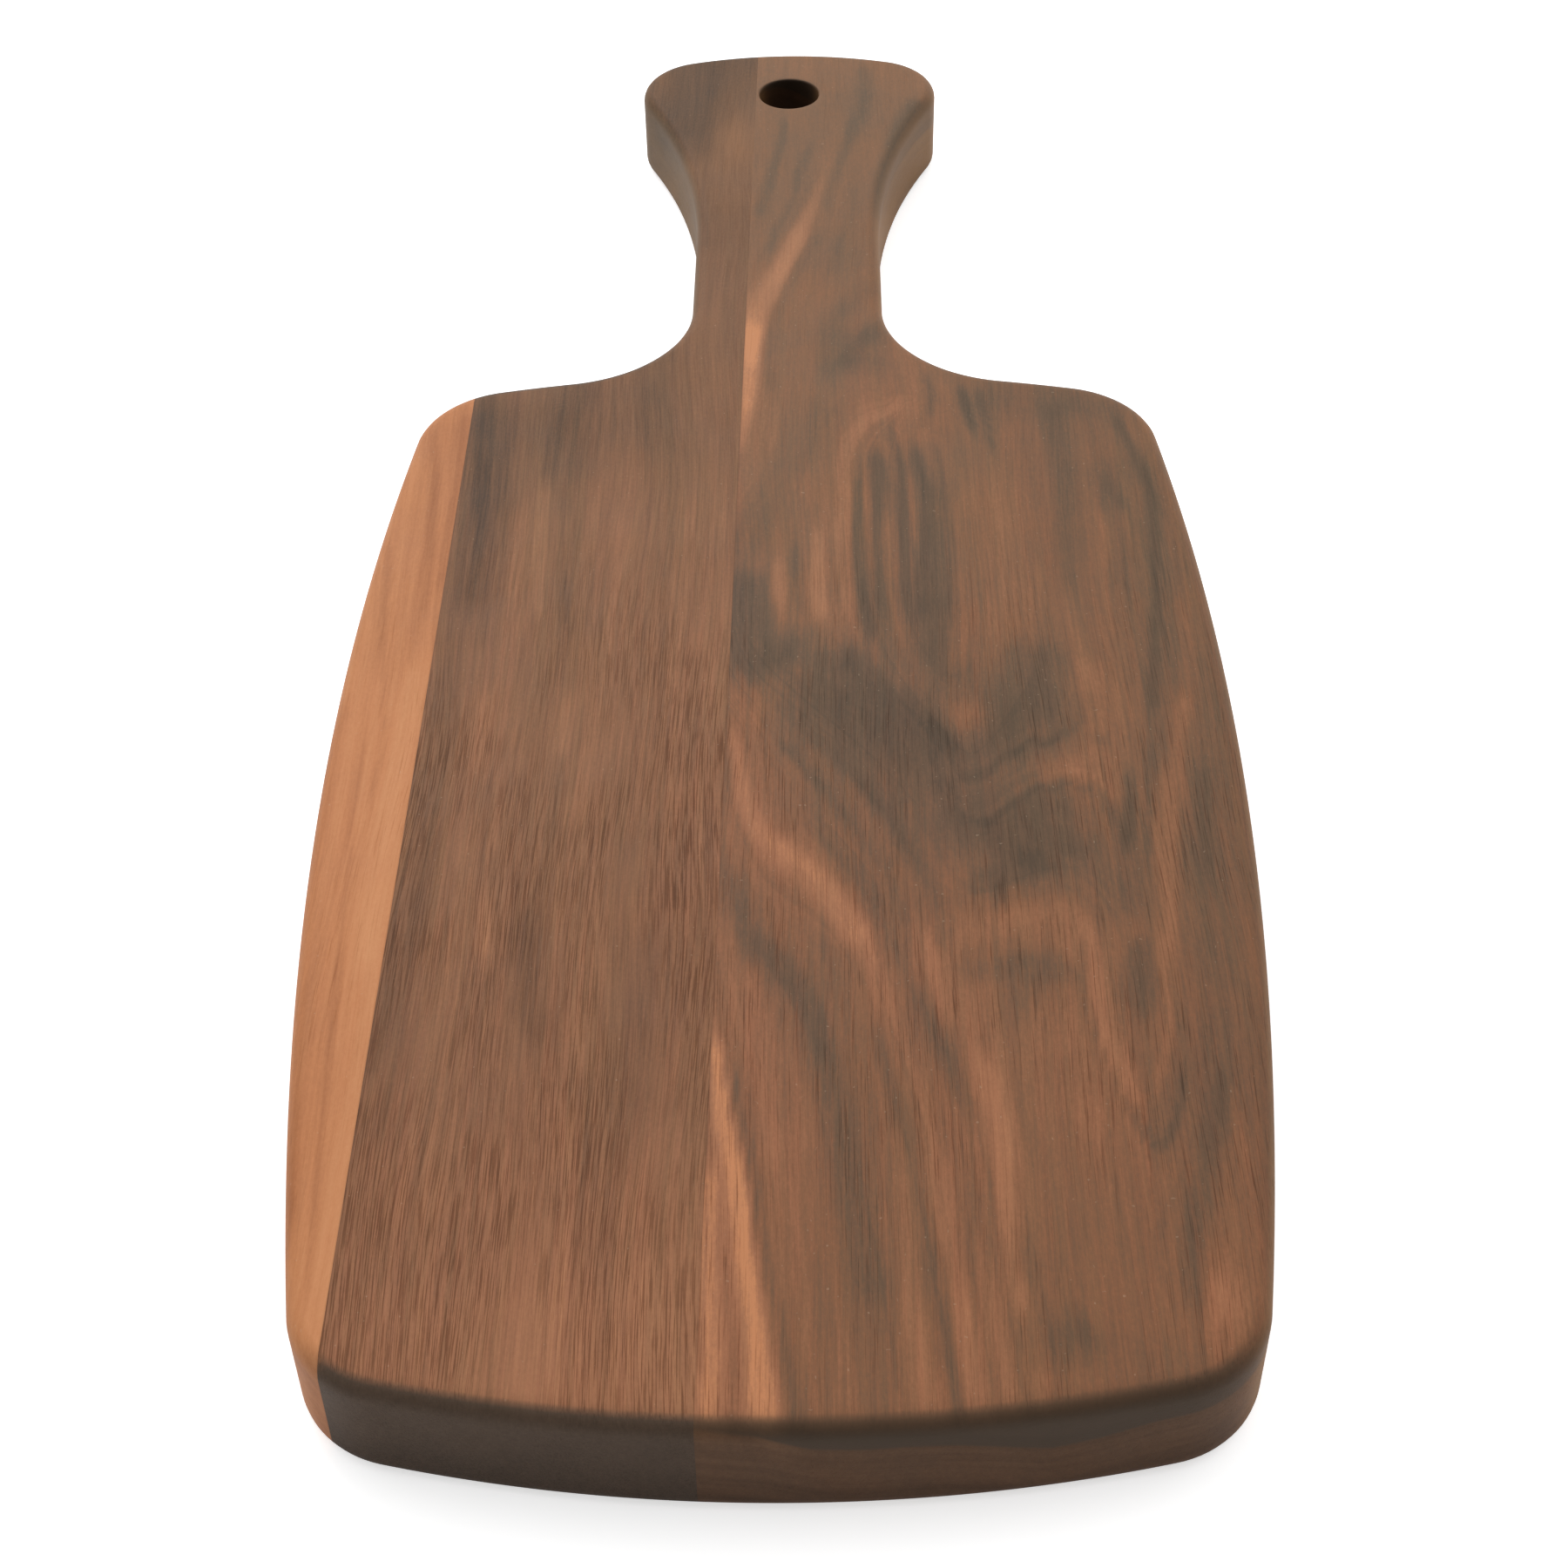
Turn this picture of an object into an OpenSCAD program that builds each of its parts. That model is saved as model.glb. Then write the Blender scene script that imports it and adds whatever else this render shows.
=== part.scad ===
/* [Body] */
// Overall length, from the front edge to the end of the handle
board_l = 440; // [410:1:480]
// Greatest width of the body
body_w = 178; // [165:1:195]
// Thickness of the glued-up panel
board_t = 22; // [16:0.5:30]
// Length of the body, from the front edge to the crown of the shoulders
body_l = 285.5; // [275:0.5:300]
// Distance from the front edge to the widest place of the body
widest_y = 159; // [135:1:185]

/* [Body curves] */
// Radius of the bowed front edge
front_r = 285; // [230:1:500]
// Radius of the bowed long sides
side_r = 842; // [600:1:1400]
// Radius of the crowned shoulders
shoulder_r = 298; // [240:1:500]
// Radius of the two front corners
front_corner_r = 19.4; // [17:0.1:30]
// Radius of the two shoulder corners
shoulder_corner_r = 22.4; // [17:0.1:30]

/* [Handle] */
// Width of the handle at its narrowest place
neck_w = 45.4; // [38:0.1:54]
// Radius of the sweep from a shoulder into the handle
fillet_r = 32; // [22:0.5:38]
// Radius of the hollow that widens the handle towards its end
waist_r = 165; // [130:1:200]
// Greatest width of the handle, near its end
handle_w = 78.4; // [70:0.1:88]
// Radius of the bowed end of the handle
end_r = 94.5; // [75:0.5:200]
// Radius of the two corners at the end of the handle
end_corner_r = 17.2; // [16:0.1:24]

/* [Edges and hole] */
// Radius of the round along the top and bottom edges
edge_r = 3; // [1:0.1:5]
// Diameter of the hanging hole
hole_d = 15.8; // [8:0.1:18]
// Distance from the end of the handle to the centre of the hanging hole
hole_inset = 23.6; // [20:0.1:30]
// Radius of the ease round each rim of the hanging hole
rim_r = 0.6; // [0.4:0.1:1]

/* [Staves] */
// Greatest width of the pale stave on the left
pale_w = 17.8; // [15:0.1:30]
// Wood left between the eased mouth of the hanging hole and the seam beside it
hole_web = 0.3; // [0.2:0.1:3]
// How much further left that seam stands at the front edge than at the end of the handle
seam_lean = 4; // [0:0.5:8]

/* [Hidden] */

pale_colour = [0.76, 0.53, 0.36];
centre_colour = [0.49, 0.35, 0.27];
figured_colour = [0.45, 0.32, 0.24];

// How far a cutting shape runs past what it cuts
overrun = 5;
// Flats along each kind of arc of the outline, and across each rounded edge
corner_steps = 8;
hollow_steps = 10;
long_steps = 14;
short_steps = 5;
edge_steps = 4;
round_fn = 96;

// Centre of an arc that touches two others from the inside: it lies where two circles
// meet that run parallel to them. The side is 1 or -1, for one or the other meeting place.
function corner_centre(first_c, first_r, second_c, second_r, corner_r, side) =
    let (
        near_r = first_r - corner_r,
        far_r = second_r - corner_r,
        span_vector = second_c - first_c,
        span = norm(span_vector),
        along = (near_r * near_r - far_r * far_r + span * span) / (2 * span),
        across = sqrt(near_r * near_r - along * along)
    )
    first_c + (along * span_vector + side * across * [-span_vector.y, span_vector.x]) / span;

function bearing(from, to) = atan2(to.y - from.y, to.x - from.x);

// Height of a right triangle from its long side and its base
function upright(long_side, base) = sqrt(long_side * long_side - base * base);

// Centres of the arcs of the right half of the outline, with the front edge at y = 0
front_c = [0, front_r];
side_c = [body_w / 2 - side_r, widest_y];
shoulder_c = [0, body_l - shoulder_r];
end_c = [0, board_l - end_r];
front_corner_c = corner_centre(front_c, front_r, side_c, side_r, front_corner_r, 1);
shoulder_corner_c = corner_centre(shoulder_c, shoulder_r, side_c, side_r, shoulder_corner_r, -1);
fillet_x = neck_w / 2 + fillet_r;
fillet_c = [fillet_x, shoulder_c.y + upright(shoulder_r + fillet_r, fillet_x)];
end_corner_x = handle_w / 2 - end_corner_r;
end_corner_c = [end_corner_x, end_c.y + upright(end_r - end_corner_r, end_corner_x)];
waist_x = neck_w / 2 + waist_r;
waist_c = [waist_x, end_corner_c.y - upright(waist_r + end_corner_r, waist_x - end_corner_x)];

// The bearings at which one arc hands over to the next
front_turn = bearing(front_c, front_corner_c);
side_turn_low = bearing(side_c, front_corner_c);
side_turn_high = bearing(side_c, shoulder_corner_c);
shoulder_turn = bearing(shoulder_c, shoulder_corner_c);
fillet_turn = bearing(shoulder_c, fillet_c);
waist_turn = bearing(waist_c, end_corner_c);
end_turn = bearing(end_c, end_corner_c);

// Places along one arc of the outline, moved inwards by inset. The place where the next arc
// takes over belongs to that arc.
function arc(centre, arc_r, from, to, steps) =
    [for (i = [0 : steps - 1])
        let (a = from + (to - from) * i / steps)
        centre + arc_r * [cos(a), sin(a)]];

// The right half of the outline, from the middle of the front edge to the end of the handle.
// A bowed arc loses the inset from its radius, and a hollow arc gains it.
function right_outline(inset) = concat(
    arc(front_c, front_r - inset, -90, front_turn, short_steps),
    arc(front_corner_c, front_corner_r - inset, front_turn, side_turn_low, corner_steps),
    arc(side_c, side_r - inset, side_turn_low, side_turn_high, long_steps),
    arc(shoulder_corner_c, shoulder_corner_r - inset, side_turn_high, shoulder_turn, corner_steps),
    arc(shoulder_c, shoulder_r - inset, shoulder_turn, fillet_turn, short_steps),
    arc(fillet_c, fillet_r + inset, fillet_turn + 180, 180, hollow_steps),
    arc(waist_c, waist_r + inset, 180, waist_turn, hollow_steps),
    arc(end_corner_c, end_corner_r - inset, waist_turn - 180, end_turn, corner_steps),
    arc(end_c, end_r - inset, end_turn, 90, short_steps),
    [[0, board_l - inset]]
);

// The whole outline, with the left half as the mirror of the right
function outline(inset) =
    let (right = right_outline(inset), last = len(right) - 1)
    concat(right, [for (i = [last - 1 : -1 : 1]) [-right[i].x, right[i].y]]);

// Inset and height of each ring of the wall, round the lower edge and then the upper one
rise = [for (i = [0 : edge_steps]) 90 * i / edge_steps];
lower_edge = [for (a = rise) [edge_r * (1 - sin(a)), edge_r * (1 - cos(a))]];
upper_edge = [for (i = [edge_steps : -1 : 0]) [lower_edge[i][0], board_t - lower_edge[i][1]]];
levels = concat(lower_edge, upper_edge);

// The glued-up panel, cut to its outline and rounded along its edges. Both flat faces are laid
// in strips from one long side to the other, so that each strip is a convex polygon.
module panel() {
    places = [for (level = levels) for (p = outline(level[0])) [p.x, p.y, level[1]]];
    size = len(outline(0));
    half = size / 2;
    top_start = size * (len(levels) - 1);
    wall = [for (j = [0 : len(levels) - 2]) for (i = [0 : size - 1])
        let (next = (i + 1) % size)
        [j * size + i, (j + 1) * size + i, (j + 1) * size + next, j * size + next]];
    underside = [for (i = [0 : half - 1]) [
        i,
        i + 1,
        each (i + 1 < half ? [size - i - 1] : []),
        each (i > 0 ? [size - i] : [])
    ]];
    serving_side = [for (strip = underside) [for (k = [len(strip) - 1 : -1 : 0]) top_start + strip[k]]];
    polyhedron(places, concat(underside, wall, serving_side));
}

// The hanging hole through the handle, with both rims eased
hole_y = board_l - hole_inset;
mouth_r = hole_d / 2 + rim_r;

module hanging_hole() {
    translate([0, hole_y, 0]) {
        translate([0, 0, -overrun])
            cylinder(h = board_t + 2 * overrun, d = hole_d, $fn = round_fn);
        eased_mouth();
        translate([0, 0, board_t])
            mirror([0, 0, 1])
                eased_mouth();
    }
}

module eased_mouth() {
    rotate_extrude($fn = round_fn)
        difference() {
            translate([0, -rim_r])
                square([mouth_r, 2 * rim_r]);
            translate([mouth_r, rim_r])
                circle(r = rim_r, $fn = round_fn);
        }
}

// The two glued seams. The left one is straight along the board, and the right one leans
// towards the hanging hole and passes just beside it.
outside_x = body_w / 2 + overrun;
left_seam_x = pale_w - body_w / 2;
function right_seam_x(y) = -mouth_r - hole_web - seam_lean * (hole_y - y) / board_l;
outside_right = [outside_x, outside_x];
outside_left = -outside_right;
left_seam = [left_seam_x, left_seam_x];
right_seam = [right_seam_x(-overrun), right_seam_x(board_l + overrun)];

// One stave of the panel, between its two sides given as [x at the front, x at the handle end]
module stave(left_side, right_side) {
    translate([0, -board_l / 2, 0])
        difference() {
            intersection() {
                panel();
                translate([0, 0, -overrun])
                    linear_extrude(board_t + 2 * overrun)
                        polygon([
                            [left_side[0], -overrun],
                            [right_side[0], -overrun],
                            [right_side[1], board_l + overrun],
                            [left_side[1], board_l + overrun]
                        ]);
            }
            hanging_hole();
        }
}

module pale_stave() {
    color(pale_colour)
        stave(outside_left, left_seam);
}

module centre_stave() {
    color(centre_colour)
        stave(left_seam, right_seam);
}

module figured_stave() {
    color(figured_colour)
        stave(right_seam, outside_right);
}

pale_stave();
centre_stave();
figured_stave();
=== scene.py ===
import math

import bpy
import numpy as np
from mathutils import Matrix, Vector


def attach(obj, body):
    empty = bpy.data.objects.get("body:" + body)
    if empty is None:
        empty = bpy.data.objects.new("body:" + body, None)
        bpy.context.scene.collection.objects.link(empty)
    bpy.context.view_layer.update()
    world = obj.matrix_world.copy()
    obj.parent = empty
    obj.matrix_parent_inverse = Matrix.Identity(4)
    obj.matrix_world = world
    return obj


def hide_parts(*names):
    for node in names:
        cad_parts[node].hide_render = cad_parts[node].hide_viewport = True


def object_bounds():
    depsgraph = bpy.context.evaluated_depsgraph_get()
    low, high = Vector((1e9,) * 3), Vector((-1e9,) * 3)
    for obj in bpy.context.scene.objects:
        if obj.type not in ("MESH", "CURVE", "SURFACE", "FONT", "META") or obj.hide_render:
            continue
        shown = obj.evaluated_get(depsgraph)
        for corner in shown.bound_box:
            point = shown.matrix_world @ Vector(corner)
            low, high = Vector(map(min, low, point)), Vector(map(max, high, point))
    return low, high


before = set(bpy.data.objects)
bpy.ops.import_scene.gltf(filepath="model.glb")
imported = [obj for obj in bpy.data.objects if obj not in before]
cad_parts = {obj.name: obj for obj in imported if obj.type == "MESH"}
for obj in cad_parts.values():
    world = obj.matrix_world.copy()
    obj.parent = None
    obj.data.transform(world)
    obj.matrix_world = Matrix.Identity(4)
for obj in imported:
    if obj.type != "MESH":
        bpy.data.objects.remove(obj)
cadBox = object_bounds()
mm = 0.001
print("frame loaded")


# Camera, floor and lights

# Where the photograph was taken from, in millimetres and degrees
view = {
    "place": (6.9, -440.2, 358.9),
    "pitch": 42.8,              # down from level
    "turn": -1.045,             # to the right of straight along the board
    "roll": -1.03,
    "lens": 59.5,
    "sensor": 36,
    "nearest": 10,              # nothing closer than this is drawn
}

studio = {
    "floorWhite": 0.9,
    "floorLift": 0.62,          # glow where the camera looks at the floor, so that it reads as white paper
    "floorGlow": 0.2,           # and where the board does, so that its walls are lit from below too
    "floorSize": 12000,
    "floorGap": 0.05,           # just under the board, so that the two faces never lie in one plane
    "skyBack": 1.2,             # soft light from behind and above the board,
    "skyFront": 0.1,            # from the camera's side,
    "skySides": 0.8,            # and from the left and right
    "skyTowards": (0, 0.72, 0.69),
    "skyEdge": (0.15, 0.85),    # how much a direction agrees with that one: dim to bright
    "sidesEdge": (-0.6, 0.2),   # the light from the sides sets in over this, front to back
    "overhead": 6,              # watts
    "overheadSize": 900,
    "overheadPlace": (-300, 800, 900),
}


# The camera is rolled about its line of sight, tipped down from level, turned about the vertical
# and moved to its place
def makeCamera(view):
    camera = bpy.data.objects.new("camera", bpy.data.cameras.new("camera"))
    camera.data.lens = view["lens"]
    camera.data.sensor_width = view["sensor"]
    camera.data.clip_start = view["nearest"] * mm
    turned = Matrix.Rotation(-math.radians(view["turn"]), 4, "Z")
    tipped = Matrix.Rotation(math.radians(90 - view["pitch"]), 4, "X")
    rolled = Matrix.Rotation(math.radians(view["roll"]), 4, "Z")
    place = Matrix.Translation([v * mm for v in view["place"]])
    camera.matrix_world = place @ turned @ tipped @ rolled
    bpy.context.scene.collection.objects.link(camera)
    bpy.context.scene.camera = camera


# One socket of a shader, so that a sum of sockets is written as a sum in Python
class Socket:
    def __init__(self, shader, link):
        self.shader = shader
        self.link = link

    def calc(self, operation, *values):
        return self.shader.node("ShaderNodeMath", {"operation": operation}, dict(enumerate(values)))

    def __add__(self, other):
        return self.calc("ADD", self, other)

    def __sub__(self, other):
        return self.calc("SUBTRACT", self, other)

    def __rsub__(self, other):
        return self.calc("SUBTRACT", other, self)

    def __mul__(self, other):
        return self.calc("MULTIPLY", self, other)

    def __abs__(self):
        return self.calc("ABSOLUTE", self)

    __radd__ = __add__
    __rmul__ = __mul__

    # Runs smoothly from 0 at low to 1 at high, and backwards when low is above high
    def step(self, low, high):
        ends = {1: low, 2: high, 3: 0, 4: 1} if low < high else {1: high, 2: low, 3: 1, 4: 0}
        settings = {"interpolation_type": "SMOOTHSTEP"}
        return self.shader.node("ShaderNodeMapRange", settings, {0: self, **ends})


# The nodes of one material or world
class Shader:
    def __init__(self, owner):
        owner.use_nodes = True
        self.tree = owner.node_tree
        self.tree.nodes.clear()

    # Any node by its type, its settings, such as a ramp's stops, and its sockets' values or links
    def node(self, kind, settings, sockets, out=0):
        made = self.tree.nodes.new(kind)
        for name, value in settings.items():
            if name == "stops":
                ramp = made.color_ramp
                while len(ramp.elements) < len(value):
                    ramp.elements.new(1)
                for element, (place, colour) in zip(ramp.elements, value):
                    element.position = place
                    element.color = colour
            else:
                setattr(made, name, value)
        for name, value in sockets.items():
            if isinstance(value, Socket):
                self.tree.links.new(value.link, made.inputs[name])
            else:
                made.inputs[name].default_value = value
        return Socket(self, made.outputs[out]) if made.outputs else made

    def attribute(self, name):
        return self.node("ShaderNodeAttribute", {"attribute_name": name}, {}, "Fac")

    # The x, y and z of a vector, and a vector from its x, y and z
    def parts(self, vector):
        separated = self.node("ShaderNodeSeparateXYZ", {}, {0: vector}).link.node
        return [Socket(self, output) for output in separated.outputs]

    def joined(self, x, y=0, z=0):
        return self.node("ShaderNodeCombineXYZ", {}, {0: x, 1: y, 2: z})

    def mix(self, share, first, second, blend="MIX"):
        settings = {"data_type": "RGBA", "blend_type": blend}
        return self.node("ShaderNodeMix", settings, {0: share, 6: first, 7: second}, 2)

    # A colour multiplied by three factors under a mask, as far as share goes
    def tinted(self, colour, mask, share, tint):
        return self.mix(mask * share, colour, (*tint, 1), "MULTIPLY")

    # A colour turned to a shade, 0 to 255, under a mask, as far as share goes
    def shaded(self, colour, mask, share, shade):
        return self.mix(mask * share, colour, linear(*shade))

    def vector(self, operation, first, second):
        return self.node("ShaderNodeVectorMath", {"operation": operation}, {0: first, 1: second})

    # Noise over a place that is multiplied by three factors; each seed looks at another part of it
    def noise(self, place, stretch, seed, detail, roughness):
        sockets = {0: place, 1: stretch, 2: (seed * 13.7, seed * 5.3, seed * 9.1)}
        stretched = self.node("ShaderNodeVectorMath", {"operation": "MULTIPLY_ADD"}, sockets)
        sockets = {"Vector": stretched, "Scale": 1, "Detail": detail, "Roughness": roughness}
        return self.node("ShaderNodeTexNoise", {}, sockets, "Fac")


# A colour as it is seen on screen, 0 to 255, as the linear light that a shader takes: the power
# of 2.4 of the sRGB curve above its short straight start
def linear(red, green, blue):
    seen = np.array([red, green, blue]) / 255
    light = np.where(seen <= 0.04045, seen / 12.92, ((seen + 0.055) / 1.055) ** 2.4)
    return (*[float(v) for v in light], 1.0)


# The floor is white paper, the room is white where the camera sees it and otherwise lights the
# board by direction, and a round lamp aims at the middle of the board
def makeStudio(studio):
    half = studio["floorSize"] / 2 * mm
    mesh = bpy.data.meshes.new("floor")
    low = -studio["floorGap"] * mm
    corners = [(-half, -half, low), (half, -half, low), (half, half, low), (-half, half, low)]
    mesh.from_pydata(corners, [], [(0, 1, 2, 3)])
    floor = bpy.data.objects.new("floor", mesh)
    bpy.context.scene.collection.objects.link(floor)
    paper = bpy.data.materials.new("whitePaper")
    shader = Shader(paper)
    white = (*[studio["floorWhite"]] * 3, 1)
    matt = shader.node("ShaderNodeBsdfDiffuse", {}, {"Color": white})
    seen = shader.node("ShaderNodeLightPath", {}, {}, "Is Camera Ray")
    glow = studio["floorGlow"] + seen * (studio["floorLift"] - studio["floorGlow"])
    lift = shader.node("ShaderNodeEmission", {}, {"Color": (1, 1, 1, 1), "Strength": glow})
    both = shader.node("ShaderNodeAddShader", {}, {0: matt, 1: lift})
    shader.node("ShaderNodeOutputMaterial", {}, {"Surface": both})
    mesh.materials.append(paper)

    world = bpy.data.worlds.new("room")
    bpy.context.scene.world = world
    shader = Shader(world)
    direction = shader.node("ShaderNodeTexCoord", {}, {}, "Generated")
    sockets = {0: direction, 1: studio["skyTowards"]}
    agreed = shader.node("ShaderNodeVectorMath", {"operation": "DOT_PRODUCT"}, sockets, "Value")
    behind = agreed.step(*studio["skyEdge"])
    across, depth, _ = shader.parts(direction)
    sides = across * across * depth.step(*studio["sidesEdge"]) * studio["skySides"]
    soft = behind * (studio["skyBack"] - studio["skyFront"]) + studio["skyFront"] + sides
    seen = shader.node("ShaderNodeLightPath", {}, {}, "Is Camera Ray")
    strength = seen + (1 - seen) * soft
    light = shader.node("ShaderNodeBackground", {}, {"Color": (1, 1, 1, 1), "Strength": strength})
    shader.node("ShaderNodeOutputWorld", {}, {"Surface": light})

    lamp = bpy.data.lights.new("overhead", "AREA")
    lamp.shape = "DISK"
    lamp.size = studio["overheadSize"] * mm
    lamp.energy = studio["overhead"]
    overhead = bpy.data.objects.new("overhead", lamp)
    place = Matrix.Translation([v * mm for v in studio["overheadPlace"]])
    aim = -place.translation
    overhead.matrix_world = place @ aim.to_track_quat("-Z", "Y").to_matrix().to_4x4()
    bpy.context.scene.collection.objects.link(overhead)


makeCamera(view)
makeStudio(studio)
bpy.context.scene.view_settings.view_transform = "Standard"
print("camera and studio ready")


# The outline of the board

boardSpan = [(high - low) / mm for low, high in zip(*cadBox)]

# Radii and places in millimetres, from the front edge; the overall size comes from the frame
board = {
    "width": boardSpan[0],
    "length": boardSpan[1],
    "thick": boardSpan[2],
    "bodyLength": 285.5,
    "widestAt": 159,
    "frontRadius": 285,
    "sideRadius": 842,
    "shoulderRadius": 298,
    "frontCorner": 19.4,
    "shoulderCorner": 22.4,
    "neckWidth": 45.4,
    "filletRadius": 32,
    "waistRadius": 165,
    "handleWidth": 78.4,
    "endRadius": 94.5,
    "endCorner": 17.2,
    "edgeRound": 3,
    "holeRadius": 7.9,
    "holeFromEnd": 23.6,
    "holeEase": 0.6,
    "paleWidth": 17.8,
    "holeWeb": 0.3,         # of the figured stave between the right seam and the hole's mouth
    "seamLean": 4,          # of the right seam over the whole length
    "spacing": 1.3,         # between neighbouring points of a surface
}


# The centre of a round that touches two big arcs from inside: where two circles meet that run
# parallel to them, by the chord that two circles share
def cornerCentre(firstCentre, firstRadius, secondCentre, secondRadius, cornerRadius, side):
    near = firstRadius - cornerRadius
    far = secondRadius - cornerRadius
    span = secondCentre - firstCentre
    distance = np.hypot(*span)
    along = (near ** 2 - far ** 2 + distance ** 2) / (2 * distance)
    across = math.sqrt(near ** 2 - along ** 2)
    return firstCentre + (along * span + side * across * np.array([-span[1], span[0]])) / distance


# The right half of the outline as arcs that hand over to each other where they touch. Each is
# its centre, its radius, its two bearings, and 1 where it bows outwards or -1 where it hollows.
def outlineArcs(b):
    front = np.array([0, b["frontRadius"]])
    side = np.array([b["width"] / 2 - b["sideRadius"], b["widestAt"]])
    shoulder = np.array([0, b["bodyLength"] - b["shoulderRadius"]])
    end = np.array([0, b["length"] - b["endRadius"]])
    frontCorner = cornerCentre(front, b["frontRadius"], side, b["sideRadius"], b["frontCorner"], 1)
    shoulderCorner = cornerCentre(
        shoulder, b["shoulderRadius"], side, b["sideRadius"], b["shoulderCorner"], -1)
    filletX = b["neckWidth"] / 2 + b["filletRadius"]
    reach = b["shoulderRadius"] + b["filletRadius"]
    fillet = np.array([filletX, shoulder[1] + math.sqrt(reach ** 2 - filletX ** 2)])
    cornerX = b["handleWidth"] / 2 - b["endCorner"]
    reach = b["endRadius"] - b["endCorner"]
    endCorner = np.array([cornerX, end[1] + math.sqrt(reach ** 2 - cornerX ** 2)])
    waistX = b["neckWidth"] / 2 + b["waistRadius"]
    reach = b["waistRadius"] + b["endCorner"]
    waist = np.array([waistX, endCorner[1] - math.sqrt(reach ** 2 - (waistX - cornerX) ** 2)])

    def bearing(start, stop):
        return math.atan2(stop[1] - start[1], stop[0] - start[0])

    half = math.pi
    frontTurn = bearing(front, frontCorner)
    lowTurn = bearing(side, frontCorner)
    highTurn = bearing(side, shoulderCorner)
    shoulderTurn = bearing(shoulder, shoulderCorner)
    filletTurn = bearing(shoulder, fillet)
    waistTurn = bearing(waist, endCorner)
    endTurn = bearing(end, endCorner)
    return [
        (front, b["frontRadius"], -half / 2, frontTurn, 1),
        (frontCorner, b["frontCorner"], frontTurn, lowTurn, 1),
        (side, b["sideRadius"], lowTurn, highTurn, 1),
        (shoulderCorner, b["shoulderCorner"], highTurn, shoulderTurn, 1),
        (shoulder, b["shoulderRadius"], shoulderTurn, filletTurn, 1),
        (fillet, b["filletRadius"], filletTurn + half, half, -1),
        (waist, b["waistRadius"], half, waistTurn, -1),
        (endCorner, b["endCorner"], waistTurn - half, endTurn, 1),
        (end, b["endRadius"], endTurn, half / 2, 1),
    ]


# Places on the outline by one number: 0 is the middle of the front edge, 1 and -1 the end of the
# handle, reached by the right and the left side. Fine steps along each arc, moved inwards by the
# inset, are looked up, and the left side is the mirror of the right.
class Outline:
    fine = 0.05             # millimetres along an arc

    def __init__(self, b):
        self.arcs = outlineArcs(b)
        points = self.trace(0)
        run = np.concatenate([[0], np.cumsum(np.hypot(*np.diff(points, axis=0).T))])
        self.length = run[-1]
        self.share = run / self.length

    def trace(self, inset):
        pieces = []
        for centre, radius, start, stop, bow in self.arcs:
            count = max(int(radius * abs(stop - start) / self.fine), 2)
            turn = np.linspace(start, stop, count)[:, None]
            pieces.append(centre + (radius - bow * inset) * np.hstack([np.cos(turn), np.sin(turn)]))
        return np.vstack(pieces)

    def at(self, share, inset):
        points = self.trace(inset)
        wrapped = (np.asarray(share) + 1) % 2 - 1
        x = np.interp(np.abs(wrapped), self.share, points[:, 0])
        y = np.interp(np.abs(wrapped), self.share, points[:, 1])
        return np.stack([np.where(wrapped < 0, -x, x), y], -1)

    # Where a seam, given as x = start + lean * y, leaves the board: at the front and at the back
    def crossings(self, seam, inset, steps=20000):
        share = np.linspace(-1, 0, steps + 1)
        points = self.at(share, inset)
        gap = points[:, 0] - seam[0] - seam[1] * points[:, 1]
        found = np.nonzero(np.sign(gap[1:]) != np.sign(gap[:-1]))[0]
        places = share[found] + gap[found] / (gap[found] - gap[found + 1]) * (share[1] - share[0])
        return places[-1], places[0]


outline = Outline(board)
holeY = board["length"] - board["holeFromEnd"]
mouthRadius = board["holeRadius"] + board["holeEase"]
leftSeam = (board["paleWidth"] - board["width"] / 2, 0)
rightLean = board["seamLean"] / board["length"]
rightSeam = (-mouthRadius - board["holeWeb"] - rightLean * holeY, rightLean)
middle = np.array([0, board["length"] / 2])


# Places on a seam by their y
def onSeam(seam, y):
    return np.stack([seam[0] + seam[1] * y, y], -1)


# Runs along with a rising curve but spreads its quick and slow stretches: the mean over a window,
# with the curve carried on past both ends so that they stay where they are
def spread(values, window):
    before = 2 * values[0] - values[window:0:-1]
    after = 2 * values[-1] - values[-2:-window - 2:-1]
    padded = np.concatenate([before, values, after])
    return np.convolve(padded, np.ones(2 * window + 1) / (2 * window + 1), "valid")


# A flat patch between four border lines: straight rows from the left border to the right, bent at
# both ends to follow the front and back borders, with the bend fading out along the board
def patch(front, right, back, left, fade=14):
    v = np.linspace(0, 1, len(left))[:, None, None]
    u = np.linspace(0, 1, len(front))[None, :, None]
    rows = left[:, None] * (1 - u) + right[:, None] * u
    frontBend = front[None] - (left[0] * (1 - u) + right[0] * u)
    backBend = back[None] - (left[-1] * (1 - u) + right[-1] * u)
    return rows + frontBend * (1 - v) ** fade + backBend * v ** fade


# Insets and heights of the rings round the wall, from the underside to the serving face: a quarter
# circle, a straight stretch and a quarter circle
def wallLevels(b, turns=7, rises=12):
    turn = np.linspace(0, math.pi / 2, turns)
    r = b["edgeRound"]
    low = np.stack([r * (1 - np.sin(turn)), r * (1 - np.cos(turn))], -1)
    high = low[::-1] * [1, -1] + [0, b["thick"]]
    heights = np.linspace(r, b["thick"] - r, rises)[1:-1]
    return np.vstack([low, np.stack([0 * heights, heights], -1), high])


# How many points a border of this length gets, and at least five
def count(length):
    return max(int(round(length / board["spacing"])), 4) + 1


# Flat points at one height
def raised(points, z):
    return np.concatenate([points, np.full(points.shape[:-1] + (1,), float(z))], -1)


# Where the left border of the centre stave turns into its back border, on the handle's end
turnIn = -0.965

# Over how many points to either side a seam's points are spread
seamWindow = {"pale": 10, "centre": 40, "figured": 40}


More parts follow.
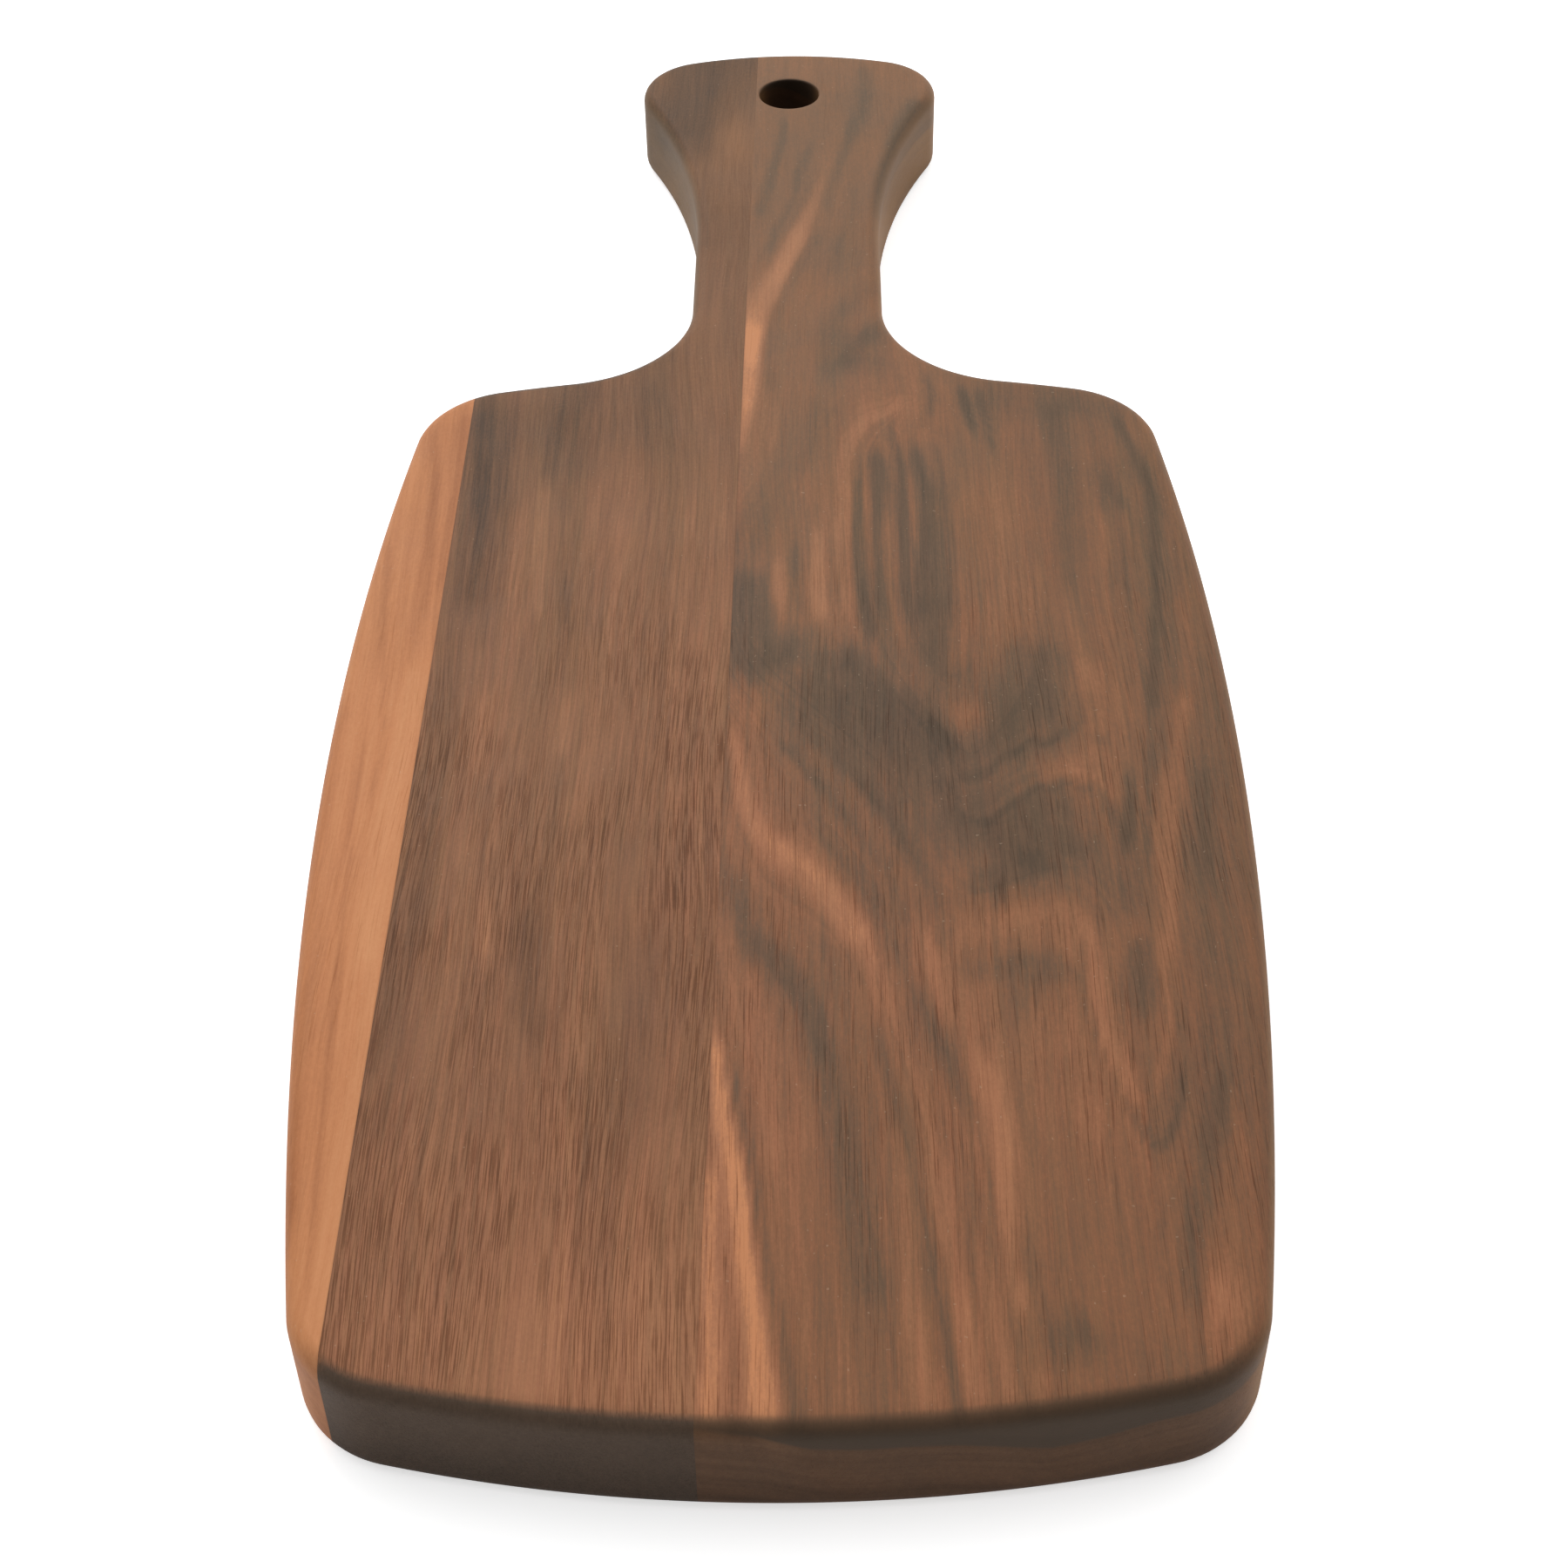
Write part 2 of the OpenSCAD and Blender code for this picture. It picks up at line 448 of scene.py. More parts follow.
# Places along the outline from start to stop, as many as the named span asks for
def stretch(start, stop, span, inset):
    return outline.at(np.linspace(start, stop, count(outlineSpan[span])), inset)


# The y of a seam's points: spread from those of the border across from it, and stretched so that
# the ends are at first and last
def following(border, window, first, last):
    calm = spread(border, window)
    return np.interp(calm, [calm[0], calm[-1]], [first, last])


# The borders of each stave at one inset, as (front, right, back, left) lines for its patch, and
# for the figured stave also the borders of the handle's end beyond the patch
def paleBorders(inset):
    front, back = outline.crossings(leftSeam, inset)
    left = stretch(front, back, "pale", inset)
    right = onSeam(leftSeam, spread(left[:, 1], seamWindow["pale"]))
    across = np.linspace(0, 1, count(board["paleWidth"]))[:, None]
    return left[0] + 0 * across, right, left[-1] + 0 * across, left


def centreBorders(inset):
    leftFront, leftBack = outline.crossings(leftSeam, inset)
    rightFront, rightBack = outline.crossings(rightSeam, inset)
    frontLine = stretch(leftFront, rightFront, "front", inset)
    backLine = stretch(turnIn, rightBack, "front", inset)
    seamTop = outline.at(leftBack, inset)[1]
    seam = onSeam(leftSeam, np.linspace(frontLine[0, 1], seamTop, count(board["bodyLength"])))
    left = np.vstack([seam, stretch(leftBack, turnIn, "handle", inset)[1:]])
    right = following(left[:, 1], seamWindow["centre"], frontLine[-1, 1], backLine[-1, 1])
    return frontLine, onSeam(rightSeam, right), backLine, left


def figuredBorders(inset):
    front, back = outline.crossings(rightSeam, inset)
    corner, handle = figuredTurn["corner"], figuredTurn["handle"]
    frontLine = stretch(front, corner, "figuredFront", inset)
    side = stretch(corner, handle, "figuredSide", inset)
    left = following(side[:, 1], seamWindow["figured"], frontLine[0, 1], side[-1, 1])
    left = onSeam(rightSeam, left)
    across = np.linspace(0, 1, len(frontLine))[:, None]
    row = left[-1] * (1 - across) + side[-1] * across
    beyond = stretch(handle, 2 + back, "end", inset)
    seamTop = np.linspace(beyond[-1, 1], left[-1, 1], count(handleEnd))
    return frontLine, side, row, left, beyond, onSeam(rightSeam, seamTop)


# The place on the right side of the outline at this distance from the front edge, looked up
# among fine steps along the handle
def shareAtHeight(y, steps=4000):
    share = np.linspace(0.5, 1, steps + 1)
    return float(np.interp(y, outline.at(share, 0)[:, 1], share))


handleEnd = 48              # millimetres of the handle that are ringed round the hole
figuredTurn = {"corner": 0.15, "handle": shareAtHeight(board["length"] - handleEnd)}
paleFront, paleBack = outline.crossings(leftSeam, 0)
outlineSpan = {
    "pale": (paleFront - paleBack) * outline.length,
    "front": board["width"] / 3,
    "handle": (paleBack - turnIn) * outline.length,
    "figuredFront": figuredTurn["corner"] * outline.length,
    "figuredSide": (figuredTurn["handle"] - figuredTurn["corner"]) * outline.length,
    "end": (1 - figuredTurn["handle"]) * outline.length,
}


# Grids become triangles that share their corners: each cell gives two, places that are equal to
# half a micrometre are joined, and triangles without area are dropped
def meshFromGrids(name, grids, perMillimetre=2000, sharpAngle=50):
    places, triangles, start = [], [], 0
    for grid, turned in grids:
        rows, columns = grid.shape[:2]
        index = start + np.arange(rows * columns).reshape(rows, columns)
        a, b, c, d = index[:-1, :-1], index[:-1, 1:], index[1:, 1:], index[1:, :-1]
        corners = np.stack([a, b, c, a, c, d], -1).reshape(-1, 3)
        triangles.append(corners[:, ::-1] if turned else corners)
        places.append(grid.reshape(-1, 3))
        start += rows * columns
    places, triangles = np.vstack(places), np.vstack(triangles)
    rounded = np.round(places * perMillimetre).astype(np.int64)
    _, first, same = np.unique(rounded, axis=0, return_index=True, return_inverse=True)
    triangles = same.reshape(-1)[triangles]
    flat = (triangles == np.roll(triangles, 1, axis=1)).any(1)
    places, triangles = places[first], triangles[~flat]
    places[:, :2] -= middle
    mesh = bpy.data.meshes.new(name)
    mesh.vertices.add(len(places))
    mesh.vertices.foreach_set("co", (places * mm).ravel())
    mesh.loops.add(triangles.size)
    mesh.loops.foreach_set("vertex_index", triangles.ravel().astype(np.int32))
    mesh.polygons.add(len(triangles))
    mesh.polygons.foreach_set("loop_start", np.arange(0, triangles.size, 3, dtype=np.int32))
    mesh.update(calc_edges=True)
    mesh.validate()
    mesh.polygons.foreach_set("use_smooth", np.ones(len(mesh.polygons), bool))
    mesh.set_sharp_from_angle(angle=math.radians(sharpAngle))
    piece = bpy.data.objects.new(name, mesh)
    bpy.context.scene.collection.objects.link(piece)
    return piece


# The handle's end round the hanging hole: rings from the mouth to the border on both faces, and
# the wall of the hole, with a quarter circle at either rim
def holeGrids(b, border, faceRings=17, easeRings=5, wallRings=12):
    centre = np.array([0, holeY])
    turn = np.arctan2(*(border - centre).T[::-1])
    out = np.stack([np.cos(turn), np.sin(turn)], -1)
    mouth = centre + mouthRadius * out
    t = np.linspace(0, 1, faceRings)[:, None, None]
    ringed = mouth * (1 - t) + border * t
    ease = np.linspace(0, math.pi / 2, easeRings)
    radii = mouthRadius - b["holeEase"] * np.sin(ease)
    drops = b["holeEase"] * (1 - np.cos(ease))
    between = np.linspace(0, b["thick"], wallRings)[1:-1]
    depths = np.concatenate([drops, between, b["thick"] - drops[::-1]])
    radii = np.concatenate([radii, np.full(len(between), b["holeRadius"]), radii[::-1]])
    wall = centre + radii[:, None, None] * out
    heights = np.broadcast_to((b["thick"] - depths)[:, None, None], wall.shape[:2] + (1,))
    wall = np.concatenate([wall, heights], -1)
    return [(raised(ringed, b["thick"]), True), (raised(ringed, 0), False), (wall, False)]


# One stave: its two flat faces, and its border carried up the levels of the wall
def makeStave(name, borders):
    b = board
    rings = []
    for inset, height in wallLevels(b):
        front, right, back, left, *handle = borders(inset)
        if handle:
            ring = np.vstack([front, right[1:], handle[0][1:], handle[1][1:], left[-2::-1]])
        else:
            ring = np.vstack([front, right[1:], back[-2::-1], left[-2::-1]])
        rings.append(raised(ring, height))
    grids = [(np.array(rings), False)]
    front, right, back, left, *handle = borders(b["edgeRound"])
    flat = patch(front, right, back, left)
    grids += [(raised(flat, b["thick"]), False), (raised(flat, 0), True)]
    if handle:
        grids += holeGrids(b, np.vstack([back, handle[0][1:], handle[1][1:]]))
    return meshFromGrids(name, grids)


stavePieces = {
    "paleStave": makeStave("paleStave", paleBorders),
    "centreStave": makeStave("centreStave", centreBorders),
    "figuredStave": makeStave("figuredStave", figuredBorders),
}
for name, piece in stavePieces.items():
    print(name, len(piece.data.vertices), "vertices", len(piece.data.polygons), "triangles")
    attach(piece, "root")
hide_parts("pale_stave")
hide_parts("centre_stave")
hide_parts("figured_stave")


# The figure of the wood

# Every line is drawn on the serving face, in millimetres from the middle of the board, mostly from
# the handle towards the front: x, y, and how far it fades to the left and to the right. One fade
# counts for both sides, and a point without any has those of the point before it. The number
# before the points is the strength: above 0 lighter and more orange, below 0 darker.
figure = {}
figure["paleStave"] = [
    (-0.1, [(-78, 56, 8), (-80, 30), (-81, -10), (-82, -50, 6)]),
    (-0.16, [(-79.6, 46, 0.7), (-78, 32, 0.9), (-76.6, 14), (-75.4, -6, 0.8), (-74.4, -28, 0.7)]),
    (-0.13, [(-86, 4, 0.6), (-84, -14, 0.7), (-82, -34), (-80.4, -50, 0.5)]),
    (-0.17, [(-80, -38, 0.4), (-79.6, -50, 0.5), (-78.2, -64), (-78.2, -84, 0.4)]),
    (-0.12, [(-82.4, -60, 0.4), (-81.4, -84, 0.5), (-79.6, -112), (-77.4, -150), (-75.4, -186)]),
    (-0.1, [(-79.6, -118, 0.4), (-78.4, -140, 0.5), (-76.6, -166), (-74, -200)]),
    (0.14, [(-74.8, -36, 1, 1.4), (-74.6, -60, 1.4, 1.8), (-74.6, -90, 1.6, 1.8), (-74.6, -130, 1.4)]),
    (-0.14, [(-72.4, 52, 1, 1.4), (-72.4, 36), (-72.2, 10, 0.8, 1), (-72, -20, 0.6, 1)]),
    (-0.14, [(-86.6, -50, 1.4, 1), (-87, -80, 1.8, 1.4), (-86, -110, 1.8, 1.6), (-83.4, -150, 1.6, 1.4),
        (-80, -186, 1.4)]),
]
figure["centreStave"] = [
    (-0.11, [(-68, 60, 3, 2.4), (-67.6, 20, 3), (-67.4, -20), (-67, -70, 3, 2.4), (-67.4, -120, 4, 3),
        (-68, -170, 3)]),
    (-0.1, [(-66.6, 34, 0.8), (-66, 14, 1.2), (-65, -6, 1), (-64.4, -24, 0.8)]),
    (0.16, [(-52.6, 24, 0.8), (-51.8, 8, 1.2), (-51, -8), (-49.6, -30, 0.9)]),
    (0.14, [(-59, -46, 0.6), (-58.4, -60, 0.9), (-58, -76, 0.7)]),
    (0.15, [(-42.6, -46, 0.7), (-43.2, -58, 1), (-44, -72, 0.8)]),
    (0.2, [(-55, -100, 0.6), (-54, -112, 1), (-52.8, -126, 0.8)]),
    (-0.14, [(-51.6, 58, 0.5), (-51.8, 40, 0.6), (-51.2, 20, 0.5)]),
    (-0.12, [(-46.6, -6, 0.4), (-45.4, -18, 0.6), (-43.2, -34, 0.5)]),
    (-0.07, [(-38, 66, 9), (-38, 52), (-40, 30, 7)]),
    (-0.08, [(-63, 40, 1), (-62.4, 0), (-61, -40)]),
    (-0.15, [(-46, -104, 1.6), (-45.4, -118, 2.4), (-44, -134, 2), (-41, -146, 1.4)]),
    (-0.09, [(-42, -130, 1.2), (-38, -143, 1.3), (-34, -156), (-31, -172, 1)]),
    (-0.4, [(-18, 250, 14), (-22, 206, 16, 13), (-29, 184, 16, 11), (-36, 156, 8, 6)]),
    (-0.18, [(-18, 170, 14), (-18, 120), (-24, 80, 20, 18), (-40, 40, 34, 30), (-40, 0)]),
    (-0.09, [(-24, 176, 6, 5), (-20, 160, 8, 6), (-19, 140, 7, 5), (-18, 112, 6, 5)]),
    (-0.11, [(-18, -106, 6), (-19, -138, 8, 7), (-22, -166, 6)]),
    (-0.13, [(-66, 58, 9), (-64, 42, 8), (-65, 18, 6), (-67, -30, 4)]),
    (0.05, [(-46, -158, 10), (-44, -198, 10, 8)]),
    (-0.06, [(-24, 174, 6, 5), (-22, 156, 5)]),
    (0.16, [(-36, -180, 30, 28), (-36, -230)]),
    (0.04, [(-40, -44, 4), (-41, -70, 5), (-46, -90)]),
    (-0.1, [(-13, -84, 0.6), (-14, -104, 0.8), (-14.4, -124, 0.6)]),
]
figure["figuredStave"] = [
    # handle and neck
    (-0.12, [(-1.5, 187, 0.8), (-2, 172, 1.2, 1), (-4, 156, 1.3, 1.1), (-6.6, 140), (-8, 128, 1)]),
    (-0.1, [(6, 172, 0.8), (3, 156, 1), (0.5, 140, 1.2, 1), (-3, 124), (-6, 112, 1)]),
    (-0.11, [(20, 215, 1.8, 1.6), (20.5, 202, 2, 1.6), (19.6, 188, 1.8, 1.6), (16.6, 173, 1.6, 1.3),
        (13, 158, 1.3, 1.1), (10.6, 145, 1.2, 1), (9.5, 132, 1)]),
    # partly a dark line in the wood and partly painted shade where the handle's right edge rounds down
    (-0.26, [(37, 196, 3, 4), (32, 184, 2.6, 4), (28.6, 172, 2.4, 4), (26, 158, 2.2, 3),
        (24, 144, 1.8, 3), (22.6, 128, 1.2, 2)]),
    (0.1, [(8.6, 156, 0.7), (7, 144, 1.1, 1), (5.4, 134, 1.5, 1.3), (2.8, 122, 2, 1.6),
        (-0.6, 110, 2.2, 1.8), (-4, 98)]),
    (0.1, [(6.4, 142, 0.8), (4.4, 131, 1.5, 1.3), (1.6, 120, 2, 1.7), (-1.4, 109, 2.4, 1.9),
        (-4.6, 98, 2.6, 1.9), (-7, 86, 2.8, 1.8), (-7.8, 74, 2.7, 1.6)]),
    (0.14, [(4.2, 132, 0.8), (1.8, 122, 1.7, 1.5), (-1.2, 111, 2.2, 1.8), (-4.4, 100, 2.5, 1.8),
        (-6.8, 89, 2.7, 1.8), (-7.6, 76, 2.8, 1.6), (-8, 62, 2.6, 1.4)]),
    (0.22, [(-7, 88, 2.6, 1.8), (-7.6, 80, 2.8, 1.7), (-7.9, 68, 2.6, 1.6), (-8.6, 54, 2.4, 1.3),
        (-9.4, 40, 2, 1), (-10, 28, 1, 0.7)]),
    (0.16, [(-7.4, 84, 2.4, 1.6), (-8, 70, 2.4, 1.5), (-8.6, 56, 2.2, 1.3), (-9.2, 42, 1.8, 1)]),
    (-0.13, [(8, 128, 0.7, 1.2), (5, 118, 0.8, 1.4), (2, 106, 0.9, 1.5), (-1.6, 94, 0.9, 1.6), (-3.4, 82),
        (-4, 66, 0.8, 1.6), (-4.6, 52)]),
    (-0.1, [(8, 215, 16, 12), (8, 190, 16, 10), (8, 160), (10, 130, 14, 10), (12, 90, 12, 10)]),
    (-0.07, [(46, 52, 12), (48, 30), (48, -20)]),
    (-0.08, [(80, 40, 8), (80, 0), (80, -60, 9, 8), (78, -130), (72, -190)]),
    (-0.07, [(14, 130, 1), (12.6, 114, 1.4), (10, 102)]),
    (0.1, [(5, 127, 0.8, 1.4), (3.4, 117, 1, 1.8), (0.8, 107, 1.2, 2), (-1.8, 98, 1, 1.8),
        (-4, 90, 0.8, 1.4)]),
    (0.07, [(0.8, 152, 0.7), (-0.4, 141, 1), (-3, 129, 0.9)]),
    (0.06, [(9, 170, 2, 2.6), (9.4, 150, 2.4, 3), (9.4, 126, 1.6, 2.4)]),
    (-0.09, [(23, 104, 2), (17, 95, 2.6, 2.4), (12, 88, 2.4), (9.4, 80, 2, 2.4), (8.6, 70, 1.6, 2),
        (8.6, 58, 1.4, 1.6)]),
    (-0.12, [(24, 88, 1.6, 2), (19, 78, 1.8, 2.4), (14.4, 71, 1.8, 2.2), (10, 62, 1.6, 1.8)]),
    (-0.13, [(17, 86, 5), (16, 74, 5, 6), (13, 60, 4)]),
    # where the neck runs into the body
    (-0.12, [(12, 56, 4, 3), (8, 44, 4, 3.4), (4, 31, 4, 3), (0, 22, 3.6, 2.6), (-3, 13, 3.4, 2.4),
        (-7, 2, 3.2, 2.2), (-9, -8, 3, 2)]),
    (0.13, [(30, 54, 2), (24, 49, 3, 2.6), (18, 45, 3, 2.4), (14.2, 38, 1.8, 1.6), (12.8, 28, 1.5, 1.4),
        (13, 18, 1.4, 1.1), (12.6, 4, 1.3, 1), (12, -6, 1, 0.8)]),
    (-0.2, [(32, 66, 0.8), (33, 55, 1, 0.8), (32.6, 47, 1), (31, 40, 0.9)]),
    # striped patch
    (-0.22, [(14.4, 28, 0.5), (15.4, 22, 0.6), (15.6, 12, 0.8, 0.9), (15.4, 0, 0.9, 1.2),
        (15.8, -14, 1, 1.2), (17, -26, 1.2, 1.4), (18.4, -38)]),
    (-0.22, [(20, 36, 1.4, 1.2), (20.4, 28, 1.7, 1.3), (20.2, 14, 1.6, 1.2), (19.4, 0, 1.2, 1),
        (19.6, -16, 1), (20.6, -30, 0.8)]),
    (-0.2, [(23.6, 45, 0.5), (23.8, 38, 0.8, 0.7), (25.2, 28, 0.9, 0.8), (25.4, 12, 0.9),
        (24.8, 0, 0.7, 0.8), (24.8, -24, 0.8, 0.9)]),
    (-0.22, [(28.4, 37, 0.7), (29.4, 28, 1, 0.9), (30.2, 16, 1.2, 1.1), (29.6, 4, 1.3, 1.2),
        (28.6, -12, 1.3), (28, -30, 1.4)]),
    (-0.14, [(33, 38, 0.6), (34, 26, 0.8, 0.6), (34.4, 14, 1.8, 0.8), (34, 4, 2.4, 0.9),
        (33.8, -12, 2.8, 1), (33, -28, 3.2, 1.2), (31, -48, 3.6, 2)]),
    (-0.15, [(24, 38, 5, 6), (25, 18, 7, 6.6), (26, 0, 8, 6.8), (26, -20, 8.4, 6.6), (27, -48, 8, 5)]),
    (0.15, [(23, 14, 0.4), (22.8, 0, 0.5), (23, -20), (23.4, -40, 0.4)]),
    (0.12, [(27.4, 30, 0.5), (27.6, 12), (27, -4, 0.4)]),
    (0.1, [(17.8, 24, 0.5), (17.6, 4), (17.8, -14)]),
    # streaks to the left of it
    (0.24, [(-1.2, -2, 0.6), (-1.1, -12, 1, 0.9), (-0.6, -26, 0.7)]),
    (-0.2, [(2.2, 0, 0.7), (2.8, -13, 1, 0.9), (3.4, -30, 0.9, 0.8)]),
    (0.27, [(6.8, 7, 0.7), (7.4, -7, 1.3, 1.1), (7.2, -19, 1.4, 1.2), (9, -32, 0.9)]),
    (-0.08, [(10, 4, 0.6), (10, -12, 0.8), (11, -26, 0.6)]),
    (0.12, [(12.4, -10, 0.8), (13, -22, 1), (15, -36, 0.8)]),
    (-0.33, [(-9, -6, 2), (-8, -18, 4), (-7, -29, 5), (-4, -38, 6), (1, -46, 6, 5)]),
    (-0.08, [(-6, -30, 5), (0, -40, 6), (8, -49), (16, -58)]),
    (-0.1, [(14, -30, 4, 3), (8, -36, 6), (5, -44, 7)]),
    # the dark point: its left arm, its right arm, and the lines that run parallel below it
    (-0.15, [(0, -44, 7), (12, -56, 9), (22, -70, 10, 9), (31, -84, 9), (38, -97, 6, 7)]),
    (-0.13, [(56, -44, 6), (50, -57, 8), (45, -72, 9), (44, -88, 9, 10), (46, -98, 6, 8)]),
    (-0.13, [(-1, -59, 3, 4), (7, -73, 5, 6), (14, -88, 6), (20, -102, 5), (25, -116, 4)]),
    (-0.17, [(63, -78, 3), (62.4, -92, 5, 4), (62, -106), (62, -118, 3)]),
    (-0.27, [(9, -33, 5, 2.4), (14, -42, 7, 3.2), (20, -50, 8, 3.4), (26, -58, 8, 3.2), (31, -66, 7, 2.8),
        (35.4, -74, 5, 2.4)]),
    (-0.14, [(0, -47, 5), (8, -57, 6), (17, -67), (25, -77, 6, 5), (31, -86, 4)]),
    (-0.2, [(54, -30, 4, 3), (52, -37, 7, 4), (50, -46, 8, 6), (48, -55, 7), (43, -65, 5, 6),
        (38, -74, 3, 4)]),
    (-0.14, [(29, -40, 6), (34, -48, 7), (40, -56, 5)]),
    (-0.15, [(24, -52, 0.8), (29, -61, 1), (33, -70, 1, 0.9), (35.8, -76, 1), (40, -71, 0.9), (46, -66),
        (52, -63.4), (58, -58.6, 0.7)]),
    (0.1, [(37, -50, 2), (36.2, -57, 3), (35.8, -65, 1)]),
    (0.1, [(46, -72.6, 0.8), (52, -70.6, 1.8, 1.6), (57, -69, 2.6, 2), (61, -64, 1.6)]),
    (-0.22, [(60, -78, 3), (53, -80, 5), (47, -86, 7), (45, -94, 9, 8), (43, -103, 8)]),
    (-0.1, [(28, -80, 6), (31, -92, 7), (34, -104, 5)]),
    (-0.14, [(55, -86, 4), (52, -97, 5, 4)]),
    (-0.12, [(33, -98, 3, 4), (40, -101, 4, 3), (48, -98), (54, -97, 3)]),
    (-0.16, [(26, -70, 0.6), (30, -78, 0.8), (33.6, -85, 0.9), (37, -88.4, 1), (42, -84, 0.9), (48, -79),
        (54, -75.8), (58.6, -77.6), (61.6, -84), (64, -92, 1), (65, -100, 0.8)]),
    (-0.16, [(30, -103, 2.6, 2.4), (35, -105.6, 3.4, 2.6), (41, -104, 3.6, 3), (47, -101.2, 3.8, 3.2),
        (53, -99, 3, 2.6)]),
    (-0.1, [(49, -95, 7, 6), (44, -101, 8, 7)]),
    (-0.13, [(12, -71, 0.7), (18, -82, 0.9), (23, -92), (27, -103), (29.6, -114), (30.6, -124, 0.8)]),
    (-0.1, [(-4, -60, 0.8), (4, -72, 0.9), (11, -84, 1), (17, -96), (22, -108), (26, -122)]),
    (0.07, [(2, -62, 1), (9, -72, 1.4), (14, -81), (20, -95), (24, -106, 1)]),
    (-0.12, [(5, -88, 0.8, 1.6), (10, -97, 0.8, 1.8), (15, -107), (19, -118, 0.8, 1.6),
        (22, -128, 0.8, 1.4)]),
    # main orange band
    (0.31, [(-10.6, -58, 0.6, 0.7), (-9.4, -66, 1.1), (-7.8, -75, 1.5, 1.4), (-6, -84, 2, 1.8),
        (-3, -91, 2.2), (1.6, -96.6, 2.6, 2.4), (6.6, -102.4, 2.7, 2.4), (10.4, -108.6, 2.9, 2.2),
        (13.4, -115.6, 3, 2), (16, -123, 2.2, 1.5)]),
    (0.09, [(14, -116, 1.4), (16.6, -124, 1.8, 1.4), (18.6, -132, 1.5, 1.2), (20, -142, 1)]),
    (-0.16, [(-10.4, -96, 1.4, 1.8), (-9, -103, 1.8, 2.4), (-6.4, -111, 2, 2.8), (-3.6, -117, 2, 3)]),
    (-0.21, [(-9, -111, 1.2, 1.6), (-5, -118, 2), (-0.4, -124.6, 2.4, 2.2), (3.6, -131, 2, 1.6),
        (6, -139, 1.4, 1.6), (7.4, -150, 1, 2.2)]),
    (-0.17, [(6.4, -140, 0.6, 3), (8.4, -152, 0.7, 4), (9.6, -164, 1, 4.6), (11.4, -176, 2.4, 3.8),
        (13.4, -188, 3), (15.6, -200, 2)]),
    (-0.1, [(14, -186, 2), (16, -200, 2.4, 2), (17.6, -220)]),
    (-0.13, [(15, -137, 0.9, 1.2), (18, -148, 1, 1.3), (20.6, -158, 1.2, 1.3), (22.6, -169, 1.2),
        (24, -181, 1, 1.2), (24.8, -196, 0.9, 1), (25.6, -214, 0.8)]),
    (-0.11, [(21.6, -152, 0.8, 0.9), (23.2, -163, 0.9), (24.2, -174, 0.7)]),
    (-0.19, [(22, -124, 1), (25.6, -135, 1.4, 1.3), (28.4, -144, 1.7, 1.5), (31, -153, 1.7, 1.3),
        (33, -162, 1, 0.9)]),
    (0.16, [(23.6, -110, 0.9), (26, -118, 1.4, 1.2), (28, -127, 1.3, 1.2), (29.6, -137, 0.9)]),
    (0.2, [(33.4, -142, 0.8), (35.8, -151, 1.5, 1.4), (37.6, -161, 1.7, 1.5), (37.2, -173, 1.4, 1.6),
        (36.6, -186, 1.3, 1.6), (38, -202, 1.2)]),
    (0.13, [(28, -163, 0.7), (28, -176, 1), (28, -190, 1.1), (29.6, -204, 1), (31.6, -222)]),
    (0.15, [(32, -178, 0.6, 0.7), (33, -190, 0.8), (34.6, -203, 1), (36.6, -222)]),
    (0.12, [(20, -172, 0.6), (20.8, -188, 0.8), (22, -204, 0.9), (23.6, -222)]),
    (-0.24, [(26, -180, 0.6), (26.6, -196, 0.7), (28.2, -222)]),
    (-0.1, [(5, -182, 1), (7, -198, 1.4), (9, -222)]),
    # broad lights and darks over those lines
    (-0.05, [(34, -172, 8, 6), (31, -205, 9, 8)]),
    (0.08, [(31, 16, 5, 4), (31, -6), (31, -24, 4)]),
    (0.06, [(14, 16, 4), (14, -16)]),
    (-0.09, [(3, 18, 4, 5), (-1, -2, 6), (3, -20, 5, 6)]),
    (-0.1, [(3, -110, 3, 4), (8, -124, 4), (14, -140, 3), (19, -155), (22, -168, 2)]),
    (-0.08, [(60, 56, 9, 10), (66, 42, 8, 9), (68, 28, 6)]),
    (-0.07, [(18, 72, 5, 6), (16, 58, 6, 8)]),
    (-0.08, [(58, -200, 12, 10), (56, -216, 14, 12)]),
    (-0.06, [(23, 202, 6), (20, 182, 5), (19, 164, 4)]),
    (0.06, [(-2.4, 74, 1, 1.6), (-3.4, 62, 0.8, 1.4)]),
    (0.1, [(-2, -124, 1), (-6, -126, 2), (-4, -140, 3), (0, -156), (2, -172, 2.4)]),
    # light wedge beside the seam
    (0.52, [(-11.8, -138, 0.6), (-11.4, -146, 1, 0.9), (-10, -156, 1.6, 1.4), (-8.2, -166, 2, 1.5),
        (-6.4, -177, 2.3, 1.6), (-4.9, -188, 2.2, 1.6), (-3.4, -200, 2.3, 1.8), (-2, -212, 2.4, 2),
        (-1.4, -226)]),
    (0.4, [(-12.4, -166, 0.8), (-12, -182, 1.4, 1.5), (-11, -196, 2, 1.7), (-10.4, -210, 2.4, 1.8),
        (-10, -226)]),
    (-0.22, [(-9.2, -143, 0.5, 0.8), (-8, -152, 0.6, 0.9), (-6.2, -163), (-4, -175, 0.7, 1), (-2.6, -186),
        (-0.8, -199, 0.8, 1.4), (1.4, -212, 1, 1.8), (2.6, -226)]),
    # arch and the blot beside it
    (-0.15, [(29, -129.6, 1.8), (33.6, -125.4, 3, 2.4), (40, -123.6, 4, 3), (48, -124, 4, 2.6),
        (53.4, -127, 2.2, 1.4), (55.2, -133, 0.8)]),
    (-0.11, [(36, -129, 6), (44, -129, 7), (50, -133, 5, 4)]),
    (0.05, [(38, -114, 2), (46, -111, 2, 3), (52, -110, 2)]),
    (0.22, [(54.8, -108, 1.2, 1), (55.4, -120), (56, -132, 1.3, 1.1), (57.2, -143, 1.4, 1.1),
